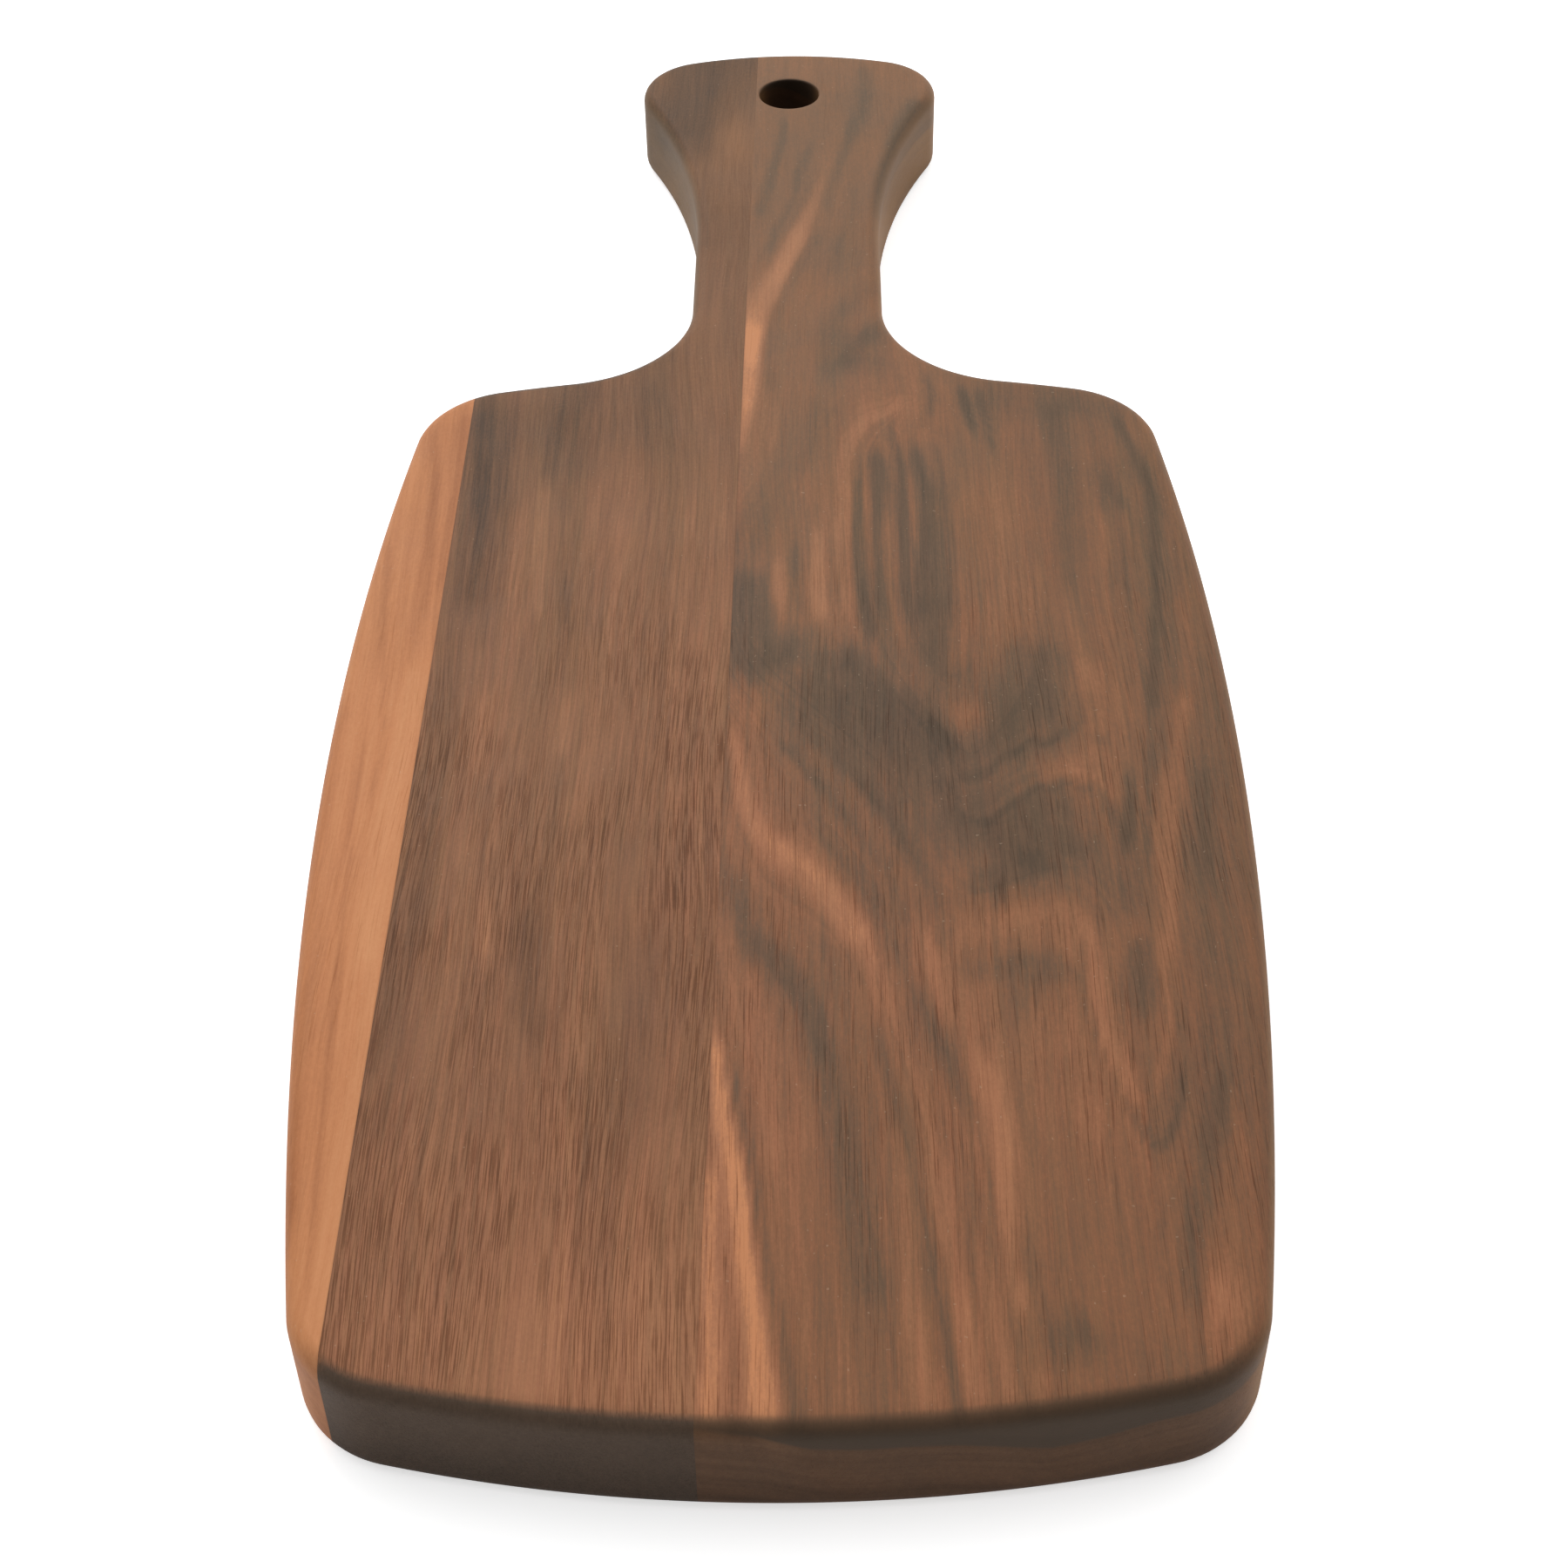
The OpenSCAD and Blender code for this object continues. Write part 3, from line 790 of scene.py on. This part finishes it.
        (59.2, -152), (61.4, -160, 0.9)]),
    (-0.18, [(53.4, -112, 0.5), (54.2, -126), (55, -140, 0.6), (57.2, -151), (60.4, -162), (63.4, -166),
        (67, -158), (70, -144, 0.5)]),
    (-0.28, [(66.6, -70, 0.6), (66.2, -80, 1, 0.7), (65.2, -90, 1.3, 0.7), (64.6, -99, 0.9, 0.6)]),
    (-0.14, [(61, -62, 1.6), (61.6, -68, 2.2, 2)]),
    (-0.26, [(64.6, -114, 1), (64.4, -123, 2.2, 1.6), (63.6, -132, 2.6, 2), (62.8, -141, 1.2)]),
    (0.17, [(68.6, -112, 0.9), (68.6, -124, 1), (67.4, -137), (65.6, -148), (63.2, -157, 0.8)]),
    (0.12, [(61, -38, 1.4), (61.6, -46, 2.2, 1.8), (61, -55, 1.4)]),
    # along the right side
    (0.22, [(81, -46, 1, 0.9), (79, -56, 1.4, 1.2), (76.8, -66, 1.5, 1.2), (75, -77, 2, 1.5),
        (73.2, -88, 1.8, 1.4), (71.2, -99, 1.4, 1), (70.4, -112, 1.4, 1.1), (69.4, -124, 1)]),
    (-0.13, [(81.5, -66, 1, 1.2), (80, -84, 1.4), (77.6, -100, 1.5, 1.4), (77, -112, 1)]),
    (-0.14, [(71.4, -62, 0.6), (70.6, -72, 0.8), (69, -86, 0.7), (68, -100, 0.6)]),
    (-0.24, [(74, 48, 0.9), (74.8, 40), (77, 30), (79, 19, 1, 0.9), (79.4, 8, 1.1, 0.8),
        (78.8, -2, 1, 0.8), (77.6, -14, 0.9, 0.8), (76.8, -26, 1.2, 0.9), (75.6, -36, 1.3, 0.9),
        (74, -46, 1.2, 1), (72.4, -60, 0.8)]),
    (-0.14, [(60, 52, 1.6, 1.8), (60, 36, 1.8, 2.2), (60, 16), (58.8, -2, 2), (59, -24)]),
    (-0.16, [(40, 62, 5, 6), (48, 54, 6, 7), (60, 52), (74, 48, 4)]),
    (-0.06, [(40, 56, 6), (40, 44, 5, 6), (42, 34, 4)]),
    (-0.09, [(74, 40, 10, 8), (72, 10, 10), (72, -20), (76, -70, 8, 10), (76, -130, 12, 10),
        (70, -170, 14, 10)]),
    (-0.3, [(39.6, 62, 0.9), (41.2, 49, 1, 0.9), (42.2, 36, 0.6)]),
    (-0.2, [(44.2, 60, 0.7), (45.2, 44, 0.7, 0.6), (46.6, 28, 0.5)]),
    (-0.14, [(70.6, 26, 0.9), (71.2, 18, 1), (73.6, 8, 0.8)]),
    (0.1, [(67.4, 14, 0.8), (67.8, 0, 1.1), (67.4, -14, 0.8)]),
    (0.12, [(82, -20, 0.8), (81.8, -34, 1.1), (80, -48, 0.8)]),
    (0.06, [(46, 26, 5), (46, 0), (46, -16, 4)]),
    (0.06, [(46, -134, 5), (50, -150, 7), (50, -170, 6)]),
    (-0.13, [(77, -146, 1.2, 1.4), (73, -160, 1.5, 1.6), (69, -174, 1.6, 1.8), (66, -188, 1.6),
        (64.6, -202, 1.4)]),
    (-0.15, [(40, -202, 3), (46, -203, 4), (52, -201, 3)]),
    (0.2, [(71, -188, 1.4), (70.4, -196, 2.4, 2.2), (69, -203, 1.8)]),
]

# Where the fine banding of the figured stave is strong
strongBands = [
    (0.4, [(-12, -20, 6, 10), (-4, -60, 14, 16), (8, -90, 18), (20, -120, 20), (26, -160, 24, 18),
        (30, -230)]),
    (0.3, [(62, -60, 8), (62, -90, 10), (60, -125, 12), (62, -160)]),
    (0.3, [(30, -60, 8), (40, -78), (52, -66), (58, -40, 6)]),
    (0.5, [(26, 46, 8, 7), (26, 10, 9, 8), (27, -34, 8)]),
]

# The growth lines of the figured stave. Each number is how far out a line lies in the tree; all
# that follows the lines, such as fine banding, is read off a smooth surface through them.
growth = [
    (0, [(-12.5, -145), (-12.5, -180), (-12.5, -218)]),
    (5, [(-10, -139), (-8, -147), (-6, -160), (-3.4, -177), (-0.8, -199), (1.5, -218)]),
    (10, [(-11, -95), (-9, -108), (-4, -119), (2, -128), (6, -140), (8, -155), (10, -168), (13, -188),
        (16, -214)]),
    (11, [(0, 212), (-1.5, 187), (-2.5, 170), (-6.6, 140), (-8.5, 125)]),
    (14, [(12, 212), (10, 175), (6.5, 145), (1.4, 122), (-3.4, 102), (-7, 88), (-8, 60), (-9.8, 36)]),
    (14, [(-10.4, -60), (-8, -74), (-5, -86), (2, -96), (10, -106), (16, -119), (20, -137), (25, -160),
        (28, -185), (31, -214)]),
    (15, [(48, -138), (48, -170), (51, -214)]),
    (17, [(21, 214), (19.5, 188), (16.6, 173), (13, 158), (10, 144), (8, 128), (4, 112), (-1, 94),
        (-3.6, 78), (-4.6, 50)]),
    (18, [(-9, -50), (-2, -63), (6, -76), (14, -90), (21, -104), (26, -120), (30, -130), (34, -150),
        (37, -180), (40, -214)]),
    (18, [(34, -125), (41, -122), (49, -123), (54, -128), (55.4, -140), (58, -155), (60, -180),
        (62, -212)]),
    (20, [(34, 205), (29, 175), (24, 150), (19, 125), (13, 108), (9, 88), (7, 60)]),
    (20, [(34, -114), (40, -111), (48, -109), (54, -108), (56, -118), (57, -132), (59, -145),
        (63.4, -156), (67, -145), (70, -126), (71.5, -104), (74, -84), (77, -64), (79.5, -40), (80, 0),
        (80, 36)]),
    (22, [(20, 76), (12, 62), (6, 45), (-1, 22), (-7, 4), (-9.5, -14), (-8, -34), (0, -48), (10, -61),
        (18, -72), (26, -86), (31, -100), (36, -106), (44, -102.6), (52, -100), (56, -103), (60, -112),
        (64, -134), (67, -118), (67.4, -98), (70, -76), (73, -56), (76, -34), (78.6, -8), (78.6, 14),
        (75.4, 36)]),
    (25, [(23, 84), (20, 68), (13, 54), (7, 40), (3, 24), (-1, 6), (-3, -16), (0, -36), (8, -48),
        (18, -60), (27, -73), (33, -84), (37, -88), (43, -83.4), (50, -78), (56, -76), (61, -82),
        (64.6, -98), (66.4, -80), (68, -60), (70, -30), (71, 10), (68, 40)]),
    (29, [(33, 55), (25, 50), (17, 44), (13, 33), (12.8, 14), (12.4, -6), (13, -24), (19, -42), (26, -56),
        (32, -68), (35.8, -76), (41, -70.6), (48, -65.4), (55, -61), (59, -50), (60, -26), (59, 0),
        (60, 30), (59, 52)]),
    (34, [(31, 60), (24, 44), (19, 34), (17.6, 16), (17.6, -8), (19.6, -28), (25, -46), (31, -58),
        (36, -65), (41, -58), (46, -46), (50, -30), (51, 0), (50, 30), (47, 56)]),
    (40, [(34, 60), (28, 46), (25.6, 32), (26, 10), (25, -12), (27, -32), (33, -44), (38, -40), (40, -24),
        (41.5, 0), (42, 30), (41, 56)]),
    (16, [(64, -190), (70, -172), (75, -142), (79, -100), (81, -70), (84, -30), (84, 10), (82, 40)]),
    (12, [(70, -207), (78, -172), (83, -130), (87, -80), (88, -30)]),
]

# How deep the dark layer under the face reaches where the front edge cuts through the figured
# stave: x, and the height of its lower side
darkLayer = [
    (-13, 21), (-2.7, 20), (5, 17), (13, 16.4), (20, 16.6), (27, 16.2), (34, 14.6), (42, 12.4),
    (50, 13.4), (58, 15.2), (66, 15.6), (73, 16), (81, 16.4), (89, 17),
]


# A smooth line through the drawn points: each stretch is a cubic that leaves and arrives along
# the line between its neighbours
def smoothLine(points, steps=6):
    knots = np.array(points, float)
    knots = np.vstack([2 * knots[0] - knots[1], knots, 2 * knots[-1] - knots[-2]])
    t = np.arange(0, len(knots) - 3, 1 / steps)
    i = np.minimum(t.astype(int), len(knots) - 4)
    f = (t - i)[:, None]
    a, b, c, d = knots[i], knots[i + 1], knots[i + 2], knots[i + 3]
    line = b + 0.5 * f * (c - a + f * (2 * a - 5 * b + 4 * c - d + f * (3 * (b - c) + d - a)))
    return np.vstack([line, knots[-2]])


# How a stroke fades, in its own widths unless millimetres are named
brush = {
    "reach": 3,             # further away nothing of it is worked out
    "edge": 1.35,           # here it is down to about a third
    "edgePower": 2.8,       # 2 would be a bell curve; more keeps the middle flatter
    "ending": 1.6,          # it runs out towards both ends over this,
    "leastEnding": 7,       # over so many millimetres at least,
    "endingParts": 3,       # and over one of so many parts of its length at most
    "endLeft": 0.2,         # what is left of it at its very ends
}


# Points with both their fades: one fade counts twice, and where there is none, those of the
# point before it are taken
def withFades(drawn):
    full = []
    for x, y, *fades in drawn:
        full.append((x, y, *((fades * 2)[:2] or full[-1][2:])))
    return full


# Adds up the drawn strokes: each falls off from its line as e to a power of the distance over
# the width, with its own width on either side, and runs out towards both ends
def drawStrokes(points, strokes):
    total = np.zeros(len(points))
    for strength, drawn in strokes:
        line = smoothLine(withFades(drawn))
        reach = brush["reach"] * line[:, 2:].max()
        inside = ((points > line[:, :2].min(0) - reach) & (points < line[:, :2].max(0) + reach)).all(1)
        near = points[inside]
        start, span = line[:-1], np.diff(line, axis=0)
        away = near[:, None] - start[None, :, :2]
        share = ((away * span[:, :2]).sum(-1) / (span[:, :2] ** 2).sum(-1)).clip(0, 1)
        away = away - share[..., None] * span[:, :2]
        distance = np.hypot(away[..., 0], away[..., 1])
        best = distance.argmin(1)
        rows = np.arange(len(near))
        width = start[best, 2:] + share[rows, best, None] * span[best, 2:]
        width = np.where(away[rows, best, 0] > 0, width[:, 1], width[:, 0])
        run = np.hypot(span[:, 0], span[:, 1])
        along = (np.cumsum(run) - run)[best] + share[rows, best] * run[best]
        ending = max(brush["leastEnding"], brush["ending"] * line[:, 2:].mean())
        ending = min(ending, run.sum() / brush["endingParts"])
        fade = (np.minimum(along, run.sum() - along) / ending).clip(brush["endLeft"], 1)
        falloff = np.exp(-(distance[rows, best] / (brush["edge"] * width)) ** brush["edgePower"])
        total[inside] += strength * fade * falloff
    return total


# A thin plate bent through all growth lines: each given point adds distance squared times its
# logarithm, and a plane takes up the rest. Lengths along the board count half.
def growthSurface(points, lines):
    squeeze = np.array([0.02, 0.01])
    softness = 0.002        # lets the plate pass a little beside the lines
    tiny = 1e-9             # keeps the logarithm finite where two places are one
    given, values = [], []
    for value, line in lines:
        fine = smoothLine(line, 2)
        given.append(fine)
        values.append(np.full(len(fine), float(value)))
    given, values = np.vstack(given) * squeeze, np.concatenate(values)

    def plate(first, second):
        square = ((first[:, None] - second[None]) ** 2).sum(-1)
        return square * np.log(square + tiny)

    count = len(given)
    plane = np.hstack([given, np.ones((count, 1))])
    system = np.zeros((count + 3, count + 3))
    system[:count, :count] = plate(given, given) + softness * np.eye(count)
    system[:count, count:] = plane
    system[count:, :count] = plane.T
    weights = np.linalg.solve(system, np.concatenate([values, np.zeros(3)]))
    at = points * squeeze
    return plate(at, given) @ weights[:count] + at @ weights[count:-1] + weights[-1]


# For each wanted place the row of the given one with the least distance squared, found in
# small batches
def nearest(given, wanted, batch=50):
    return np.concatenate([((part[:, None] - given[None]) ** 2).sum(-1).argmin(1)
                           for part in np.array_split(wanted, len(wanted) // batch + 1)])


# The sum of a few long sine waves of random heading, about 1 high, that makes straight borders
# uneven: across and along are the lengths over which it changes
def waves(points, across, along, seed, number=7, calm=4):
    random = np.random.default_rng(seed)
    heading = random.normal(size=(number, 2)) / [across, along]
    phase = random.uniform(0, 2 * math.pi, number)
    return np.sin(points @ heading.T * 2 + phase).sum(1) / calm


# How a value rises from 0 at start to 1 after the given rise
def ramp(values, start, rise):
    return ((values - start) / rise).clip(0, 1)


figureLook = {
    "drift": (0.3, 1),                  # moves across and along, for each millimetre of depth
    "strayAcross": (0.4, 9, 30, 3),     # millimetres, then the waves' two lengths and their seed
    "strayAlong": (1.6, 3, 60, 4),
    "seamTouch": 0.05,                  # a point closer to a seam than this lies on it,
    "seamBeside": 2.5,                  # and one closer than this beside it
    "endFrom": (0.04, 0.36),            # end grain rises with how far a wall looks along the board
    "endCorner": (0.5, 0.3),            # and only where it looks more along the board than across
    "sideFrom": (0.5, 0.5),             # side grain rises as the rounded edge turns into the wall
    "leastBanding": 0.3,
}


# Gives a stave what its wood reads at each point: the drawn tone, how much of the surface is
# end grain or side grain, and on the figured stave the growth and the dark layer as well
def addFigure(name, piece):
    look = figureLook
    mesh = piece.data
    places = np.empty(len(mesh.vertices) * 3)
    mesh.vertices.foreach_get("co", places)
    places = places.reshape(-1, 3) / mm
    normals = np.empty(len(mesh.vertices) * 3)
    mesh.vertices.foreach_get("normal", normals)
    normals = normals.reshape(-1, 3)
    # lower in the wood the figure has moved a little
    points = places[:, :2] + (places[:, 2:] - board["thick"]) * np.array(look["drift"])
    stray = [size * waves(points, *rest) for size, *rest in (look["strayAcross"], look["strayAlong"])]
    fields = {"tone": drawStrokes(points + np.stack(stray, -1), figure[name])}
    # a corner between wall and seam looks the way that its nearest neighbour off the seam looks
    gap = np.min([np.abs(places[:, 0] - onSeam(seam, places[:, 1] + middle[1])[:, 0])
                  for seam in (leftSeam, rightSeam)], axis=0)
    joined = gap < look["seamTouch"]
    beside = ~joined & (gap < look["seamBeside"])
    normals[joined] = normals[beside][nearest(places[beside], places[joined])]
    level = np.hypot(normals[:, 0], normals[:, 1]) + 1e-6
    along = np.abs(normals[:, 1])
    fields["endGrain"] = ramp(along, *look["endFrom"]) * ramp(along / level, *look["endCorner"])
    fields["sideGrain"] = ramp(level, *look["sideFrom"]) * (1 - fields["endGrain"])
    if name == "figuredStave":
        fields["growth"] = growthSurface(points, growth)
        fields["banding"] = look["leastBanding"] + drawStrokes(points, strongBands)
        x, height = np.array(darkLayer).T
        fields["layerHeight"] = places[:, 2] - np.interp(places[:, 0], x, height)
        fields["frontWall"] = (-normals[:, 1]).clip(0, 1)
        # the wall of the hanging hole, where the colour gets painted shade
        away = np.hypot(places[:, 0], places[:, 1] + middle[1] - holeY)
        fields["bore"] = (away < board["holeRadius"] + board["holeEase"] / 2).astype(float)
    for field, values in fields.items():
        mesh.attributes.new(field, "FLOAT", "POINT").data.foreach_set("value", values.astype(np.float32))


for name, piece in stavePieces.items():
    addFigure(name, piece)
print("figure drawn")


# The woods

# Colours are as seen on screen, 0 to 255, from dark to light; tints are factors on red, green
# and blue
paleWood = {
    "stops": [(0, (140, 84, 48)), (0.5, (188, 126, 82)), (1, (212, 154, 108))],
    "bands": 0.28,
    "streaks": 0.36,
    "fibres": 0.34,
    "speckle": 0.26,
    "pores": 0.25,
    "poreLevels": (0.55, 0.75),
    "mottle": 0.1,
    "endColours": ((128, 86, 62), (176, 124, 90)),
    "endShare": 0.5,
    "sideColours": ((150, 98, 64), (206, 146, 102)),
    "sideShare": 0.2,
    "redness": 0.3,
    "redTint": (1.08, 0.9, 0.84),
    "seed": 3,
}
brownWood = {
    "stops": [(0, (76, 56, 38)), (0.5, (133, 94, 63)), (1, (176, 124, 86))],
    "bands": 0.17,
    "streaks": 0.38,
    "fibres": 0.62,
    "speckle": 0.28,
    "pores": 0.65,
    "poreLevels": (0.47, 0.61),
    "mottle": 0.08,
    "endColours": ((68, 55, 45), (98, 83, 70)),
    "endShare": 0.95,
    "sideColours": ((95, 75, 53), (144, 115, 83)),
    "sideShare": 0.8,
    "redness": 0.8,
    "redTint": (1.07, 0.91, 1),
    "seed": 7,
}
figuredWood = {
    "stops": [(0, (80, 66, 49)), (0.25, (101, 79, 58)), (0.5, (129, 91, 62)), (0.8, (160, 111, 77)),
              (1, (190, 130, 88))],
    "bands": 0.4,
    "streaks": 0.3,
    "fibres": 0.42,
    "speckle": 0.3,
    "pores": 0.6,
    "poreLevels": (0.53, 0.7),
    "mottle": 0.1,
    "endColours": ((82, 60, 45), (124, 94, 70)),
    "endShare": 0.85,
    "sideColours": ((126, 90, 55), (167, 125, 82)),
    "sideShare": 0.8,
    "redness": 0.8,
    "redTint": (1.08, 0.9, 0.92),
    "seed": 12,
}

# The noise in all woods: how fast each layer changes across, along and down through the board,
# which part of the noise it shows, its detail, its roughness, and for some the two levels between
# which they set in
grain = {
    "wander": ((0.03, 0.008, 0.03), 0, 1, 0.5),
    "bands": ((0.12, 0.003, 0.16), 1, 2, 0.5),
    "growthBands": ((0.36, 0.006, 1), 1, 3, 0.6),
    "streaks": ((0.7, 0.012, 0.5), 2, 4, 0.6),
    "fibres": ((1.5, 0.05, 1.2), 3, 4, 0.7),
    "clouds": ((0.08, 0.05, 0.08), 4, 5, 0.6),
    "porePatches": ((0.07, 0.02, 0.07), 5, 2, 0.5, 0.25, 0.6),
    "poreDashes": ((4.4, 0.08, 2.4), 6, 2, 0.6),
    "redPatches": ((0.07, 0.009, 0.07), 7, 3, 0.5, 0.35, 0.65),
    "thinLines": ((1.5, 0.012, 1), 8, 2, 0.5, 0.56, 0.7),
    "speckle": ((2.2, 0.9, 2.2), 9, 3, 0.7),
    "flecks": ((1.7, 1.3, 1.7), 10, 0, 0.5, 0.82, 0.9),
    "redLines": ((0.8, 0.02, 0.6), 11, 3, 0.5, 0.36, 0.64),
    "rings": ((0.02, 1, 0.4), 12, 3, 0.5, 0.3, 0.7),
}

# What all woods share. A stretch is two places along the board, in millimetres from its middle,
# from where something is least to where it is most. Beside a share stands the tint that it gives,
# or for the flecks and the dark layer their own colour.
oiled = {
    "wander": 9,                        # millimetres that the grain strays sideways
    "thinLines": 0.13,
    "softStretch": (-10, 130),          # softer grain towards the handle
    "softness": 0.55,
    "poreStretch": (20, -70),           # more pores towards the front edge
    "fewPores": 0.25,
    "poreTint": (0.36, 0.28, 0.22),
    "redNoise": 0.3,
    "redNoiseStretch": (200, 40),
    "redFront": 0.4,
    "redFrontStretch": (60, -130),
    "paleTones": (0.6, 1),              # tones that grow less red
    "paleLoss": 0.6,
    "flecks": (0.2, (196, 170, 142)),
    "glueEdge": (0.32, 0.06),           # millimetres from the seam
    "glueStretch": (130, 60),
    "glue": (0.25, (0.45, 0.4, 0.36)),
    "footShadeHeights": (16, 1),              # painted shade: end grain drawn darker down to the underside, where the floor shades the wall
    "paintedFootShade": (0.45, (0.5, 0.48, 0.46)),
    "rings": (0.5, (0.5, 0.52, 0.52)),
    "layerEdge": 0.5,                   # half the height over which the dark layer sets in
    "layer": (0.9, (80, 67, 55)),
    # painted shade on the wall of the hanging hole
    "bore": (0.6, (0.3, 0.3, 0.32)),
    "roughness": (0.5, 0.12, 0.2),      # everywhere, more in pores, and give or take for clouds
    "relief": (0.3, 0.7),               # height of fibres, depth of pores
    "bump": (0.35, 0.1),                # strength, and distance in millimetres
    "gloss": 0.11,
}


# Wood: broad bands, long streaks, fibres, specks and clouds add up to one tone, which picks the
# colour between the stops. All of them are noise drawn out along the board, so they come out as
# dots and layers where the front edge cuts across them.
def makeWood(name, wood, followsGrowth=False):
    material = bpy.data.materials.new(name)
    shader = Shader(material)
    metres = shader.node("ShaderNodeTexCoord", {}, {}, "Object")
    straight = shader.vector("MULTIPLY", metres, (1 / mm, 1 / mm, 1 / mm))
    x, y, z = shader.parts(straight)

    # One layer of the grain: 0 to 1 where it has levels, otherwise as much below 0 as above
    def layer(name, at, *levels):
        stretch, part, detail, roughness, *own = grain[name]
        noise = shader.noise(at, stretch, wood["seed"] + part, detail, roughness)
        levels = levels or own
        return noise.step(*levels) if levels else noise - 0.5

    sway = shader.joined(layer("wander", straight) * oiled["wander"])
    place = shader.vector("ADD", straight, sway)
    if followsGrowth:
        line = shader.joined(shader.attribute("growth"), y)
        bands = layer("growthBands", line) - layer("thinLines", line) * oiled["thinLines"]
        bands = bands * shader.attribute("banding")
    else:
        bands = layer("bands", place)
    fibres = layer("fibres", place)
    clouds = layer("clouds", place)
    crisp = 1 - y.step(*oiled["softStretch"]) * oiled["softness"]
    tone = shader.attribute("tone") + 0.5 + bands * (wood["bands"] * 2)
    tone = tone + layer("streaks", place) * crisp * wood["streaks"] + fibres * crisp * wood["fibres"]
    tone = tone + clouds * wood["mottle"] * 2 + layer("speckle", place) * wood["speckle"]
    stops = [(at, linear(*shade)) for at, shade in wood["stops"]]
    colour = shader.node("ShaderNodeValToRGB", {"stops": stops}, {"Fac": tone})

    # redder in patches and lines, and more so towards the front edge
    redness = layer("redPatches", place) * oiled["redNoise"] + layer("redLines", place) * oiled["redNoise"]
    redness = redness * y.step(*oiled["redNoiseStretch"])
    redness = redness + y.step(*oiled["redFrontStretch"]) * oiled["redFront"]
    redness = redness * (1 - tone.step(*oiled["paleTones"]) * oiled["paleLoss"])
    colour = shader.tinted(colour, redness, wood["redness"], wood["redTint"])

    # pores are short dark dashes in patches
    many = y.step(*oiled["poreStretch"]) * (1 - oiled["fewPores"]) + oiled["fewPores"]
    pores = layer("poreDashes", place, *wood["poreLevels"]) * layer("porePatches", place) * many
    colour = shader.tinted(colour, pores, wood["pores"], oiled["poreTint"])
    colour = shader.shaded(colour, layer("flecks", place), *oiled["flecks"])

    # a thin dark line of glue at either seam
    for start, lean in (leftSeam, rightSeam):
        gap = x - y * lean - (start + lean * middle[1])
        glue = abs(gap).step(*oiled["glueEdge"]) * y.step(*oiled["glueStretch"])
        colour = shader.tinted(colour, glue, *oiled["glue"])

    # the walls: side grain along the board, end grain across it
    sideShade = shader.mix(tone, *[linear(*shade) for shade in wood["sideColours"]])
    colour = shader.mix(shader.attribute("sideGrain") * wood["sideShare"], colour, sideShade)
    endShade = shader.mix(tone, *[linear(*shade) for shade in wood["endColours"]])
    # painted shade: the end grain is darkened towards the underside, where the floor's contact shadow
    # falls
    endShade = shader.tinted(endShade, z.step(*oiled["footShadeHeights"]), *oiled["paintedFootShade"])
    colour = shader.mix(shader.attribute("endGrain") * wood["endShare"], colour, endShade)

    # in the front edge a dark layer lies under the face, and thin rings run along with it further
    # down; the wall of the hanging hole gets painted shade, darker than the face
    if followsGrowth:
        wall = shader.attribute("frontWall")
        depth = shader.attribute("layerHeight")
        rings = layer("rings", shader.joined(x, 0, depth))
        colour = shader.tinted(colour, wall * (1 - rings), *oiled["rings"])
        dark = depth.step(-oiled["layerEdge"], oiled["layerEdge"])
        colour = shader.shaded(colour, dark * wall, *oiled["layer"])
        # painted shade inside the hanging hole
        colour = shader.tinted(colour, shader.attribute("bore"), *oiled["bore"])

    smooth, inPores, inClouds = oiled["roughness"]
    proud, deep = oiled["relief"]
    strength, distance = oiled["bump"]
    height = fibres * proud - pores * deep
    sockets = {"Strength": strength, "Distance": distance * mm, "Height": height}
    surface = shader.node("ShaderNodeBsdfPrincipled", {}, {
        "Base Color": colour,
        "Roughness": smooth + pores * inPores + clouds * inClouds,
        "Specular IOR Level": oiled["gloss"],
        "Normal": shader.node("ShaderNodeBump", {}, sockets),
    })
    shader.node("ShaderNodeOutputMaterial", {}, {"Surface": surface})
    return material


stavePieces["paleStave"].data.materials.append(makeWood("paleWood", paleWood))
stavePieces["centreStave"].data.materials.append(makeWood("brownWood", brownWood))
stavePieces["figuredStave"].data.materials.append(makeWood("figuredWood", figuredWood, followsGrowth=True))
print("woods made")
